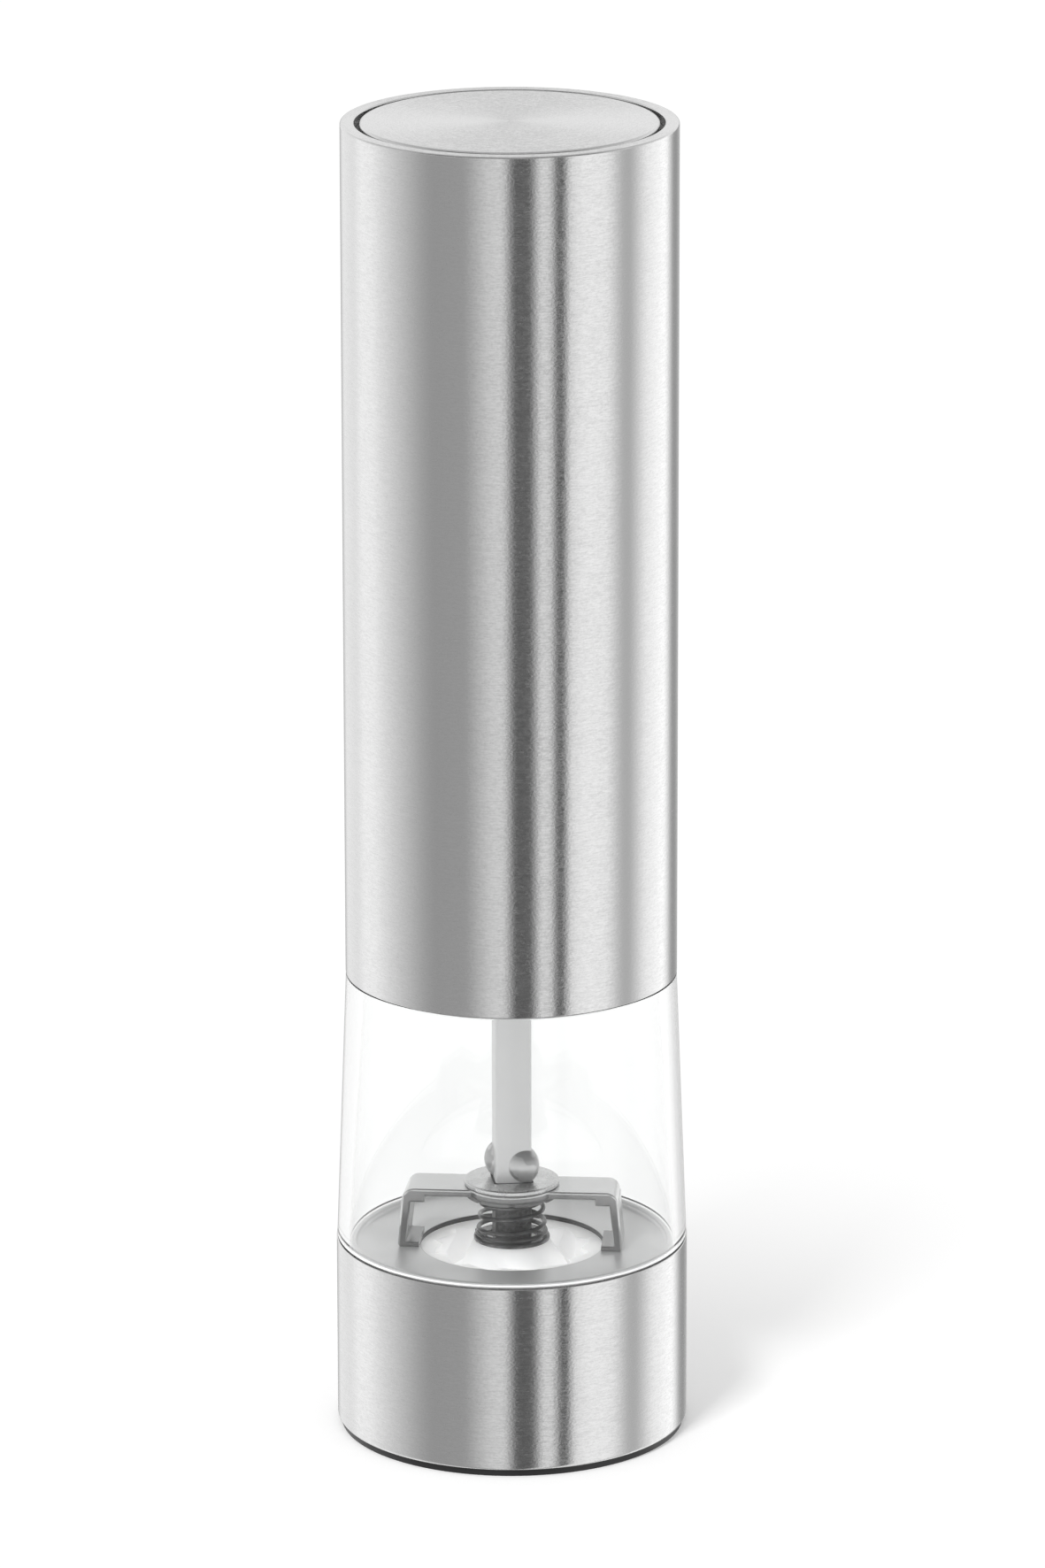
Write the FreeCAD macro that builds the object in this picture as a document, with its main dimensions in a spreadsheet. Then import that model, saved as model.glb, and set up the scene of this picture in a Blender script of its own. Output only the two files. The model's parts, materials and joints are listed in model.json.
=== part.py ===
import FreeCAD, Part
import math
import os
import re

import Sketcher

# Battery pepper mill: a steel sleeve with a push button on top of a drive unit, which stands in
# the neck of a clear pepper chamber; a square shaft turns a ceramic rotor in the base.
# Millimetres, +Z up, origin at the centre of the foot's underside, the front towards -Y.

os.makedirs("parts", exist_ok=True)
document = FreeCAD.newDocument("PepperMill")
sheet = document.addObject("Spreadsheet::Sheet", "Sizes")

# Driving dimensions: name, value and what it measures

SIZES = [
    # gaps and fits
    ("press_gap", 0.05, "between pieces pressed or glued together"),
    ("slide_gap", 0.15, "between pieces that are pulled apart by hand"),
    ("running_gap", 0.1, "between pieces that turn or slide in use"),
    ("shaft_gap", 0.1, "between the square shaft and its sockets, each side"),
    ("seat_gap", 0.1, "under a lift-off piece on its seat"),
    # base
    ("foot_inset", 0.6, "foot inside the outside of the base sleeve"),
    ("foot_height", 1.0, "foot that shows below the base sleeve"),
    ("housing_wall", 1.75, "wall of the lower housing"),
    ("base_flare", 1.7, "outside of the base sleeve beyond the outside of the upper sleeve"),
    ("base_height", 30.0, "height of the base sleeve"),
    ("base_wall", 1.0, "wall of the base sleeve"),
    ("base_edge", 0.6, "rounding of its lower edge"),
    # chamber
    ("shadow_gap", 0.2, "between the base sleeve and the chamber"),
    ("chamber_foot_inset", 0.1, "chamber's lower edge inside the outside of the base sleeve"),
    ("chamber_head_inset", 0.05, "chamber's shoulder inside the outside of the upper sleeve"),
    ("chamber_height", 43.4, "clear part of the chamber"),
    ("chamber_wall", 2.1, "wall of the chamber at its foot"),
    ("neck_height", 9.4, "neck above the shoulder"),
    ("neck_wall", 1.8, "wall of the neck"),
    ("spigot_depth", 7.2, "chamber's spigot inside the base sleeve"),
    ("spigot_wall", 1.4, "wall of the spigot"),
    ("chamber_chamfer", 1.0, "height of the chamfer inside the chamber's foot"),
    # chamber floor
    ("floor_drop", 2.0, "underside of the floor plate below the chamber's edge"),
    ("floor_thickness", 0.8, "floor plate at its hole"),
    ("floor_rise", 0.6, "rise of the floor plate towards its lip"),
    ("floor_lip_height", 2.2, "upstanding lip of the floor plate"),
    ("floor_lip_width", 0.8, "width of that lip"),
    ("floor_flat_margin", 1.2, "flat middle of the floor plate beyond the bridge"),
    ("floor_overlap", 1.4, "floor plate over the stator, round its hole"),
    ("deck_thickness", 2.5, "deck of the lower housing under the floor plate"),
    # bridge over the mill
    ("bridge_turn", -4.7, "turn of the bridge about the axis, degrees"),
    ("bridge_height", 9.7, "top of the bridge above the floor"),
    ("tab_wall", 0.45, "wall between the stator and the tabs of the bridge"),
    ("bridge_lean", 0.7, "lean of each leg towards the axis"),
    ("bridge_width", 8.5, "strap, front to back"),
    ("bridge_strap", 1.2, "thickness of the strap"),
    ("bridge_leg", 1.3, "thickness of the legs"),
    ("bridge_round", 1.8, "rounding of the outer corners"),
    ("bridge_boss_radius", 7.4, "round middle of the strap"),
    ("gusset_length", 3.5, "length of the thick corners"),
    ("gusset_depth", 2.2, "thickness of the strap at the corners"),
    ("toe_length", 3.3, "inward toe of each leg"),
    ("toe_thickness", 0.8, "thickness of the toes"),
    ("tab_depth", 2.8, "tab of each leg below the floor's top"),
    ("tab_width", 5.0, "width of the tabs"),
    ("shaft_bush_wall", 1.135, "wall of the shaft bush"),
    ("bush_flange_width", 2.2, "width of the flange of the shaft bush"),
    ("bush_flange", 0.6, "thickness of that flange"),
    ("bush_notch", 0.5, "radius of the notches in the flange"),
    # shaft
    ("shaft_turn", 6.5, "turn of the shaft at rest, degrees"),
    ("shaft_width", 5.7, "side of the square shaft"),
    ("shaft_chamfer", 0.3, "chamfer of its edges"),
    ("stud_radius", 2.5, "round threaded end of the shaft"),
    ("square_rise", 0.6, "lower end of the square above the rotor's underside"),
    ("ear_radius", 3.3, "swaged ears above the washer"),
    ("ear_half_thickness", 2.6, "half of the thickness of an ear"),
    ("ear_reach", 1.85, "middle of an ear from the axis"),
    ("ear_rise", 2.6, "middle of an ear above the washer"),
    ("washer_radius", 7.5, "washer on the bridge"),
    ("washer_gap", 0.25, "between the square shaft and the washer's hole, each side"),
    ("washer_thickness", 0.8, "thickness of that washer"),
    # mill spring
    ("spring_wire", 0.75, "wire of the mill spring"),
    ("spring_foot_room", 1.2, "between the wire and the shaft's corners at the foot"),
    ("spring_head_room", 0.46, "between the wire and the shaft's corners at the head"),
    ("spring_turns", 4, "turns of the mill spring"),
    ("spring_crowding", 0.7, "share by which its end turns are closer"),
    ("spring_turn", 180, "where its foot starts, degrees from +X"),
    ("spring_gap", 0.06, "between a spring and its seats"),
    # ceramic mill
    ("rotor_rise", 0.6, "top of the rotor above the floor's hole"),
    ("rotor_height", 10.8, "height of the rotor"),
    ("rotor_hub_radius", 6.0, "top of the rotor"),
    ("grind_gap", 0.6, "between the teeth of rotor and stator at the foot"),
    ("rotor_waist", 1.3, "narrowing of the toothed foot from its tips to its top"),
    ("rotor_crown_height", 7.0, "lobed part of the rotor"),
    ("rotor_lobes", 4, "lobes that feed the corns"),
    ("rotor_teeth", 24, "grinding teeth of the rotor"),
    ("rotor_tooth_depth", 0.6, "depth of these teeth"),
    ("rotor_tooth_twist", 12, "turn of these teeth over their height, degrees"),
    ("rotor_lobe_twist", 50, "turn of the lobes over their height, degrees"),
    ("rotor_washer_thickness", 0.6, "washer between the rotor and the spring"),
    ("stator_wall", 1.4, "wall of the stator behind its teeth, at the foot"),
    ("stator_height", 9.0, "height of the stator"),
    ("stator_head_radius", 11.0, "tips of its teeth at the top"),
    ("stator_foot_radius", 13.8, "tips of its teeth at the foot"),
    ("stator_teeth", 12, "teeth of the stator"),
    ("stator_head_depth", 1.5, "depth of its teeth at the top"),
    ("stator_foot_depth", 0.6, "depth of its teeth at the foot"),
    ("stator_twist", 25, "turn of its teeth over their height, degrees"),
    ("stator_turn", -11.5, "turn of its teeth at the foot, degrees"),
    ("lug_width", 4.0, "lugs that keep the stator from turning"),
    ("lug_height", 3.5, "height of the lugs"),
    ("lug_reach", 1.0, "lugs beyond the stator"),
    ("collar_wall", 2.2, "collar of the housing round the stator"),
    ("retainer_thickness", 2.5, "ring that holds the stator up"),
    ("retainer_overlap", 1.2, "that ring under the stator"),
    ("retainer_margin", 0.2, "between that ring and the housing's wall"),
    ("retainer_screw_margin", 2.25, "its screws from its edge"),
    ("screw_radius", 0.95, "shank of the small screws"),
    ("screw_head_radius", 1.8, "head of the small screws"),
    ("screw_head", 1.1, "height of a countersunk head"),
    ("screw_length", 6.0, "length of the small screws"),
    ("screw_boss_radius", 2.2, "bosses for the retainer's screws"),
    # grind adjuster
    ("knob_recess", 3.0, "underside of the knob above the table"),
    ("knob_radius", 10.4, "grip of the knob"),
    ("knob_grip", 7.0, "height of the grip"),
    ("knob_edge", 0.8, "rounding of the grip"),
    ("knob_ribs", 12, "ribs round the grip"),
    ("knob_rib_radius", 0.8, "radius of a rib"),
    ("knob_hub_radius", 6.5, "hub of the knob"),
    ("knob_skin", 1.2, "closed underside of the knob"),
    ("nut_radius", 4.3, "brass nut in the knob"),
    ("nut_length", 7.5, "length of the nut"),
    ("stud_end_gap", 0.9, "between the stud and the knob's underside"),
    # drive unit, lower end
    ("plug_rise", 2.0, "underside of the plug above the chamber's shoulder"),
    ("plug_floor", 2.0, "floor of the plug"),
    ("plug_wall", 1.8, "wall of the plug"),
    ("plug_hole_radius", 7.6, "hole for the output hub"),
    ("flange_thickness", 2.0, "flange that rests on the neck"),
    # gearbox, two planetary stages
    ("tooth_module", 0.5, "module of the gears"),
    ("pressure_angle", 25, "pressure angle of the gears, degrees"),
    ("sun_teeth", 12, "teeth of each sun gear"),
    ("planet_teeth", 18, "teeth of each planet gear"),
    ("planet_count", 3, "planets of each stage"),
    ("tooth_addendum", 0.75, "height of a tooth above the pitch circle, in modules"),
    ("tooth_dedendum", 0.9, "depth of a tooth below the pitch circle, in modules"),
    ("tooth_play", 0.04, "thinning of each tooth, each mesh"),
    ("planet_width", 5.0, "width of the planet gears"),
    ("pin_radius", 1.2, "planet pins"),
    ("planet_gap", 0.3, "between a carrier and its planets"),
    ("stage_gap", 0.5, "between the planets and the next carrier"),
    ("gearbox_wall", 4.4, "wall of the gearbox outside its teeth"),
    ("gearbox_floor", 2.5, "floor of the gearbox"),
    ("gearbox_head_room", 1.2, "over the upper planets"),
    ("gearbox_flange_gap", 0.35, "between the gearbox's flange and the motor housing"),
    ("gearbox_flange", 2.0, "thickness of that flange"),
    ("hub_radius", 6.2, "output hub"),
    ("hub_drop", 1.2, "output hub below the gearbox"),
    ("bush_wall", 1.9, "wall of the output bush"),
    ("bush_rim", 1.0, "rim of the output bush"),
    ("output_plate", 3.5, "output carrier's plate"),
    ("stage_plate", 2.0, "first stage carrier's plate"),
    ("carrier_margin", 2.5, "carrier plate outside the pins' circle"),
    ("socket_roof", 0.7, "plate left over the square socket"),
    ("shaft_end_gap", 0.6, "between the shaft's end and the socket's end"),
    # motor
    ("motor_plate_thickness", 2.0, "plate between gearbox and motor"),
    ("motor_radius", 12.2, "motor can"),
    ("motor_length", 30.8, "length of the motor can"),
    ("motor_wall", 0.8, "wall of the motor can"),
    ("motor_cap", 2.2, "end cap of the motor"),
    ("magnet_thickness", 2.2, "magnets in the can"),
    ("magnet_length", 20.0, "length of the magnets"),
    ("magnet_angle", 60, "half of the gap between the magnets, degrees"),
    ("air_gap", 0.5, "between magnets and armature"),
    ("armature_length", 14.0, "length of the armature"),
    ("armature_slots", 3, "slots of the armature"),
    ("armature_tip", 1.4, "thickness of the pole shoes"),
    ("armature_mouth", 2.2, "width of a slot's mouth"),
    ("commutator_gap", 1.0, "between the armature and the commutator"),
    ("motor_shaft_radius", 1.0, "motor shaft"),
    ("motor_boss_radius", 3.0, "bearing bosses of the motor"),
    ("motor_screw_circle", 8.0, "motor screws from the axis"),
    ("commutator_radius", 2.6, "commutator"),
    ("commutator_length", 4.0, "length of the commutator"),
    # motor housing and battery holder
    ("unit_wall", 1.8, "wall of the motor housing"),
    ("unit_margin", 1.4, "between the sleeve and the drive unit"),
    ("motor_head_room", 2.4, "over the motor, for its leads"),
    ("holder_floor", 1.6, "floor of the battery holder"),
    ("contact_thickness", 0.4, "contact plates"),
    ("contact_half_width", 4.6, "half of the width of a contact plate"),
    ("contact_spring_room", 3.4, "room for a pressed contact spring"),
    ("cell_radius", 7.25, "AA cell"),
    ("cell_length", 50.5, "AA cell with its nub"),
    ("cell_nub", 1.0, "nub of a cell"),
    ("cell_nub_radius", 2.6, "radius of the nub"),
    ("cell_edge", 0.5, "rounding of a cell's can"),
    ("cell_gap", 0.12, "between a cell and its bay"),
    ("cell_circle", 13.0, "cells from the axis"),
    ("bay_lip", 1.2, "lips that hold a cell in its bay"),
    ("lead_thickness", 0.5, "motor leads"),
    ("lead_gap", 2.0, "motor leads from the cells"),
    ("lead_offset", 7.0, "motor leads beside the middle"),
    ("lead_width", 3.0, "width of the leads"),
    ("lead_end", 6.0, "inner end of the leads over the motor"),
    ("cover_thickness", 2.0, "contact cover"),
    ("cover_screw_circle", 3.2, "cover screws from the axis"),
    ("contact_spring_wire", 0.6, "wire of the contact springs"),
    ("contact_spring_foot", 4.0, "radius of a contact spring at its plate"),
    ("contact_spring_head", 2.4, "radius of a contact spring at its cell"),
    ("contact_spring_turns", 2.5, "turns of a contact spring"),
    # switch and button
    ("button_room", 14.5, "from the contact cover to the rim"),
    ("leaf_arm", 12.0, "switch leaf from its fixed end to the axis"),
    ("leaf_tip", 3.0, "leaf beyond the axis"),
    ("leaf_width", 5.0, "width of the leaf"),
    ("leaf_thickness", 0.3, "thickness of the leaf"),
    ("riser_length", 4.0, "block under the leaf's fixed end"),
    ("switch_contact_radius", 1.2, "fixed contact under the leaf"),
    ("switch_contact_height", 0.8, "height of the fixed contact"),
    ("button_sink", 0.3, "button's edge below the rim"),
    ("button_crown", 0.4, "crown of the button"),
    ("button_gap", 0.75, "dark gap round the button"),
    ("button_edge", 0.8, "rounding of the button's edge"),
    ("button_sheet", 1.0, "sheet of the button cap"),
    ("button_skirt", 4.4, "skirt of the button cap"),
    ("button_skirt_wall", 0.6, "wall of that skirt"),
    ("plunger_thickness", 2.0, "plastic disc under the cap"),
    ("stem_radius", 4.8, "stem of the plunger"),
    ("stem_flange_radius", 5.8, "flange that keeps the stem in the guide"),
    ("stem_flange", 0.9, "thickness of that flange"),
    ("nib_height", 1.2, "nib that presses the leaf"),
    ("nib_radius", 1.0, "radius of the nib"),
    ("guide_shelf", 1.2, "shelf of the button guide"),
    ("button_spring_room", 4.3, "return spring between shelf and plunger"),
    ("button_spring_wire", 0.6, "wire of the return spring"),
    ("button_spring_radius", 8.0, "centre of its wire from the axis"),
    ("button_spring_turns", 2.5, "turns of the return spring"),
    # upper sleeve
    ("tube_radius", 26.0, "outside of the upper sleeve"),
    ("tube_wall", 1.2, "wall of the upper sleeve"),
    ("rim_width", 2.2, "flat rim round the button"),
    ("rim_thickness", 1.5, "thickness of the rim"),
]

# Levels and radii that follow from the driving dimensions

LEVELS = {
    "base_radius": "tube_radius + base_flare",
    "foot_radius": "base_radius - foot_inset",
    "base_top": "foot_height + base_height",
    "housing_radius": "base_radius - base_wall - press_gap",
    "housing_bore": "housing_radius - housing_wall",
    "chamber_foot_radius": "base_radius - chamber_foot_inset",
    "chamber_head_radius": "tube_radius - chamber_head_inset",
    "chamber_bottom": "base_top + shadow_gap",
    "chamber_top": "chamber_bottom + chamber_height",
    "neck_top": "chamber_top + neck_height",
    "neck_radius": "tube_radius - tube_wall - slide_gap",
    "mouth_radius": "neck_radius - neck_wall",
    "spigot_radius": "base_radius - base_wall - press_gap",
    "spigot_bottom": "chamber_bottom - spigot_depth",
    "deck_radius": "spigot_radius - spigot_wall - press_gap",
    "deck_top": "chamber_bottom - floor_drop",
    "floor_top": "deck_top + floor_thickness",
    "stator_radius": "stator_foot_radius + stator_foot_depth + stator_wall",
    "stator_bore": "stator_radius + press_gap",
    "floor_hole_radius": "stator_radius - floor_overlap",
    "bridge_half_span": "stator_bore + tab_wall + bridge_leg",
    "bridge_shoulder": "bridge_half_span - bridge_lean",
    "gusset_reach": "bridge_shoulder - gusset_length",
    "floor_flat_radius": "bridge_half_span + floor_flat_margin",
    "bridge_top": "floor_top + bridge_height",
    "bush_bottom": "bridge_top - bridge_strap - bush_flange",
    "shaft_corner": "sqrt((shaft_width / 2)^2 + (shaft_width / 2 - shaft_chamfer)^2)",
    "bush_radius": "shaft_corner + running_gap + shaft_bush_wall",
    "bush_flange_radius": "bush_radius + bush_flange_width",
    "washer_bottom": "bridge_top + running_gap",
    "ear_middle": "washer_bottom + washer_thickness + running_gap + ear_rise",
    "ear_ball": "(ear_radius^2 + ear_half_thickness^2) / (2 * ear_half_thickness)",
    "rotor_top": "floor_top + rotor_rise",
    "rotor_bottom": "rotor_top - rotor_height",
    "spring_seat": "rotor_top + rotor_washer_thickness",
    "spring_foot_radius": "shaft_corner + spring_foot_room + spring_wire / 2",
    "spring_head_radius": "shaft_corner + spring_head_room + spring_wire / 2",
    "square_bottom": "rotor_bottom + square_rise",
    "rotor_foot_radius": "stator_foot_radius - grind_gap",
    "stator_bottom": "deck_top - stator_height",
    "collar_radius": "stator_bore + collar_wall",
    "retainer_bottom": "stator_bottom - retainer_thickness",
    "retainer_radius": "deck_radius - housing_wall - retainer_margin",
    "retainer_hole_radius": "stator_radius - retainer_overlap",
    "retainer_screw_circle": "retainer_radius - retainer_screw_margin",
    "pilot_radius": "screw_radius + press_gap",
    "knob_top": "rotor_bottom - running_gap",
    "stud_bottom": "knob_recess + knob_skin + stud_end_gap",
    "unit_bottom": "chamber_top + plug_rise",
    "flange_bottom": "neck_top + seat_gap",
    "flange_top": "flange_bottom + flange_thickness",
    "plug_radius": "mouth_radius - slide_gap",
    "gear_bottom": "unit_bottom + plug_floor",
    "orbit_radius": "tooth_module * (sun_teeth + planet_teeth) / 2",
    "ring_teeth": "sun_teeth + 2 * planet_teeth",
    "ring_root": "tooth_module * (ring_teeth / 2 + tooth_dedendum)",
    "gearbox_radius": "ring_root + gearbox_wall",
    "bush_bore": "hub_radius + running_gap",
    "output_bush_radius": "bush_bore + bush_wall",
    "output_bottom": "gear_bottom + gearbox_floor + bush_rim + running_gap",
    "hub_bottom": "gear_bottom - hub_drop",
    "socket_top": "output_bottom + output_plate - socket_roof",
    "shaft_top": "socket_top - shaft_end_gap",
    "planet_two_bottom": "output_bottom + output_plate + planet_gap",
    "stage_bottom": "planet_two_bottom + planet_width + stage_gap",
    "planet_one_bottom": "stage_bottom + stage_plate + planet_gap",
    "gearbox_top": "planet_one_bottom + planet_width + gearbox_head_room",
    "carrier_radius": "orbit_radius + carrier_margin",
    "motor_bottom": "gearbox_top + motor_plate_thickness",
    "motor_top": "motor_bottom + motor_length",
    "magnet_radius": "motor_radius - motor_wall - press_gap",
    "armature_radius": "magnet_radius - magnet_thickness - air_gap",
    "unit_radius": "tube_radius - tube_wall - unit_margin",
    "gearbox_flange_radius": "unit_radius - unit_wall - gearbox_flange_gap",
    "lead_reach": "cell_place + cell_radius + lead_gap",
    "holder_bottom": "motor_top + motor_cap + motor_head_room",
    "bay_bottom": "holder_bottom + holder_floor",
    "cell_floor": "bay_bottom + contact_thickness",
    "cell_roof": "cell_floor + contact_spring_room + cell_length",
    "cover_bottom": "cell_roof + contact_thickness",
    "cover_top": "cover_bottom + cover_thickness",
    "cell_place": "cell_circle * sqrt(0.5)",
    "tube_bottom": "chamber_top + seat_gap",
    "tube_top": "cover_top + button_room",
    "button_radius": "tube_radius - rim_width - button_gap",
    "button_top": "tube_top - button_sink",
    "plunger_top": "button_top - button_sheet",
    "plunger_bottom": "plunger_top - plunger_thickness",
    "shelf_top": "plunger_bottom - button_spring_room",
    "shelf_bottom": "shelf_top - guide_shelf",
    "stem_bottom": "shelf_bottom - running_gap - stem_flange",
    "nib_bottom": "stem_bottom - nib_height",
    "leaf_bottom": "nib_bottom - running_gap - leaf_thickness",
}

for row, (name, size, meaning) in enumerate(SIZES, 1):
    sheet.set(f"A{row}", name)
    sheet.set(f"B{row}", str(size))
    sheet.set(f"C{row}", meaning)
    sheet.setAlias(f"B{row}", name)
document.recompute()

SIZE_NAMES = {name for name, size, meaning in SIZES}
NODES = []


def formula(text):
    """An expression on the sheet: each size gets the sheet's name, each level its own formula."""

    def written_out(match):
        word = match.group(0)
        if word in LEVELS:
            return "(" + formula(LEVELS[word]) + ")"
        return "Sizes." + word if word in SIZE_NAMES else word

    return re.sub(r"[a-z][a-z_]*", written_out, str(text))


def value(text):
    """The number that an expression has now."""
    return float(sheet.evalExpression(formula(text)))


def bind(thing, path, text):
    thing.setExpression(path, formula(text))


def node(thing, label):
    """Names a finished piece and puts it on the list of files."""
    thing.Label = label
    NODES.append(thing)
    return thing


def place(thing, height="0", turn=None):
    """Puts a piece at its level, turned about the axis by an angle in degrees."""
    if turn is not None:
        axis = FreeCAD.Vector(0, 0, 1)
        rotation = FreeCAD.Rotation(axis, value(turn))
        thing.Placement = FreeCAD.Placement(FreeCAD.Vector(), rotation)
        bind(thing, "Placement.Rotation.Angle", turn)
    bind(thing, "Placement.Base.z", height)


# Sketches


def origin(body, role):
    """An axis or plane of a body's own origin."""
    return next(f for f in body.Origin.OriginFeatures if f.Role == role)


def sketch_on(body, name, role, offset="0", turn=None):
    """A sketch on one of the body's planes, moved along the plane's normal and turned in it."""
    sketch = body.newObject("Sketcher::SketchObject", name)
    sketch.AttachmentSupport = [(origin(body, role), "")]
    sketch.MapMode = "FlatFace"
    if turn is not None:
        rotation = FreeCAD.Rotation(FreeCAD.Vector(0, 0, 1), value(turn))
        sketch.AttachmentOffset = FreeCAD.Placement(FreeCAD.Vector(), rotation)
        bind(sketch, "AttachmentOffset.Rotation.Angle", turn)
    bind(sketch, "AttachmentOffset.Base.z", offset)
    return sketch


def measure(sketch, kind, index, point, text):
    """Ties a point's distance from the sketch's origin to an expression."""
    size = value(text)
    number = sketch.addConstraint(Sketcher.Constraint(kind, -1, 1, index, point, size))
    if re.search("[a-z]", str(text)):
        bind(sketch, f"Constraints[{number}]", text)


def arc_about(start, stop, centre_x):
    """The arc of under half a turn between two points whose centre has the given first coordinate."""
    (x1, y1), (x2, y2) = start, stop
    squares = x1 * x1 - x2 * x2 + y1 * y1 - y2 * y2
    centre_y = (squares - 2 * centre_x * (x1 - x2)) / (2 * (y1 - y2))
    first = math.atan2(y1 - centre_y, x1 - centre_x)
    last = math.atan2(y2 - centre_y, x2 - centre_x)
    circle = Part.Circle(FreeCAD.Vector(centre_x, centre_y, 0), FreeCAD.Vector(0, 0, 1), 1)
    circle.Radius = math.hypot(x1 - centre_x, y1 - centre_y)
    forward = (last - first) % (2 * math.pi) < math.pi
    if forward:
        return Part.ArcOfCircle(circle, first, last), forward
    return Part.ArcOfCircle(circle, last, first), forward


def outline(sketch, corners):
    """Draws a closed outline.

    A corner is (x, y), or (x, y, c) where the stretch to the next corner is an arc whose centre
    has x = c.
    """
    points = [(value(corner[0]), value(corner[1])) for corner in corners]
    ends = []
    for number, corner in enumerate(corners):
        start = points[number]
        stop = points[(number + 1) % len(points)]
        if len(corner) == 3:
            curve, forward = arc_about(start, stop, value(corner[2]))
        else:
            curve = Part.LineSegment(FreeCAD.Vector(*start, 0), FreeCAD.Vector(*stop, 0))
            forward = True
        index = sketch.addGeometry(curve, False)
        ends.append((index, 1, 2) if forward else (index, 2, 1))
    for number, (index, first, last) in enumerate(ends):
        other, other_first, other_last = ends[(number + 1) % len(ends)]
        sketch.addConstraint(Sketcher.Constraint("Coincident", index, last, other, other_first))
    for corner, (index, first, last) in zip(corners, ends):
        measure(sketch, "DistanceX", index, first, corner[0])
        measure(sketch, "DistanceY", index, first, corner[1])
        if len(corner) == 3:
            measure(sketch, "DistanceX", index, 3, corner[2])


def circle(sketch, x, y, radius):
    """Draws a circle at a place in the sketch."""
    centre = FreeCAD.Vector(value(x), value(y), 0)
    normal = FreeCAD.Vector(0, 0, 1)
    index = sketch.addGeometry(Part.Circle(centre, normal, value(radius)), False)
    number = sketch.addConstraint(Sketcher.Constraint("Radius", index, value(radius)))
    bind(sketch, f"Constraints[{number}]", radius)
    measure(sketch, "DistanceX", index, 3, x)
    measure(sketch, "DistanceY", index, 3, y)


def rectangle(left, right, low, high):
    """The corners of a rectangle for outline."""
    return [(left, low), (right, low), (right, high), (left, high)]


def square(half):
    """The chamfered square of the shaft, half as wide as given."""
    inner = f"{half} - shaft_chamfer"
    ring = [(half, inner), (inner, half)]
    corners = []
    for x, y in ring:
        corners.append((x, y))
    for x, y in reversed(ring):
        corners.append((f"-({x})", y))
    for x, y in ring:
        corners.append((f"-({x})", f"-({y})"))
    for x, y in reversed(ring):
        corners.append((x, f"-({y})"))
    return corners


# Features of a body


def turned(label, height, corners, finished=True):
    """A body turned about the axis from an outline of radii and heights."""
    body = document.addObject("PartDesign::Body", label)
    profile = sketch_on(body, label + "_profile", "XZ_Plane")
    outline(profile, corners)
    turning = body.newObject("PartDesign::Revolution", label + "_turning")
    turning.Profile = profile
    turning.ReferenceAxis = (profile, ["V_Axis"])
    turning.Angle = 360
    place(body, height)
    return node(body, label) if finished else body


def pad(body, sketch, length, midplane=False):
    feature = body.newObject("PartDesign::Pad", sketch.Name + "_pad")
    feature.Profile = sketch
    feature.Midplane = midplane
    bind(feature, "Length", length)
    return feature


def pocket(body, sketch, length):
    """Cuts a sketch upwards from its plane."""
    feature = body.newObject("PartDesign::Pocket", sketch.Name + "_pocket")
    feature.Profile = sketch
    feature.Reversed = True
    bind(feature, "Length", length)
    return feature


def polar(body, feature, count):
    """Repeats a feature round the axis."""
    pattern = body.newObject("PartDesign::PolarPattern", feature.Name + "_round")
    pattern.Originals = [feature]
    pattern.Axis = (origin(body, "Z_Axis"), [""])
    pattern.Angle = 360
    bind(pattern, "Occurrences", count)
    body.Tip = pattern
    return pattern


def round_hole(body, name, x, y, radius, height, length, count=None, turn=None):
    """A hole cut upwards from a height, repeated round the axis if a count is given."""
    sketch = sketch_on(body, name, "XY_Plane", height, turn)
    circle(sketch, x, y, radius)
    cut = pocket(body, sketch, length)
    return cut if count is None else polar(body, cut, count)


def round_post(body, name, x, y, radius, height, length, count=None):
    """A round post grown upwards from a height, repeated round the axis if a count is given."""
    sketch = sketch_on(body, name, "XY_Plane", height)
    circle(sketch, x, y, radius)
    post = pad(body, sketch, length)
    return post if count is None else polar(body, post, count)


def shaped_hole(body, name, corners, height, length, count=None, turn=None):
    """A hole of any outline cut upwards from a height."""
    sketch = sketch_on(body, name, "XY_Plane", height, turn)
    outline(sketch, corners)
    cut = pocket(body, sketch, length)
    return cut if count is None else polar(body, cut, count)


def slabs(label, height, thickness, outlines):
    """Flat plates of one thickness, one for each outline."""
    body = document.addObject("PartDesign::Body", label)
    sketch = sketch_on(body, label + "_outline", "XY_Plane")
    for corners in outlines:
        outline(sketch, corners)
    pad(body, sketch, thickness)
    place(body, height)
    return node(body, label)


def shaped(label, shape, x=0.0, y=0.0, z=0.0, turn=0.0):
    """A piece whose shape is worked out here, put in its place."""
    thing = document.addObject("Part::Feature", label)
    thing.Shape = shape
    rotation = FreeCAD.Rotation(FreeCAD.Vector(0, 0, 1), turn)
    thing.Placement = FreeCAD.Placement(FreeCAD.Vector(x, y, z), rotation)
    return node(thing, label)


def primitive(kind, name, sizes, x="0", y="0", z="0"):
    """A Part primitive with its sizes and place tied to expressions."""
    thing = document.addObject(kind, name)
    for path, text in sizes.items():
        bind(thing, path, text)
    bind(thing, "Placement.Base.x", x)
    bind(thing, "Placement.Base.y", y)
    bind(thing, "Placement.Base.z", z)
    return thing


def joined(label, things):
    """Pieces made one, or a group of like pieces under one name."""
    union = document.addObject("Part::MultiFuse", label)
    union.Shapes = things
    return node(union, label)


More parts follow.
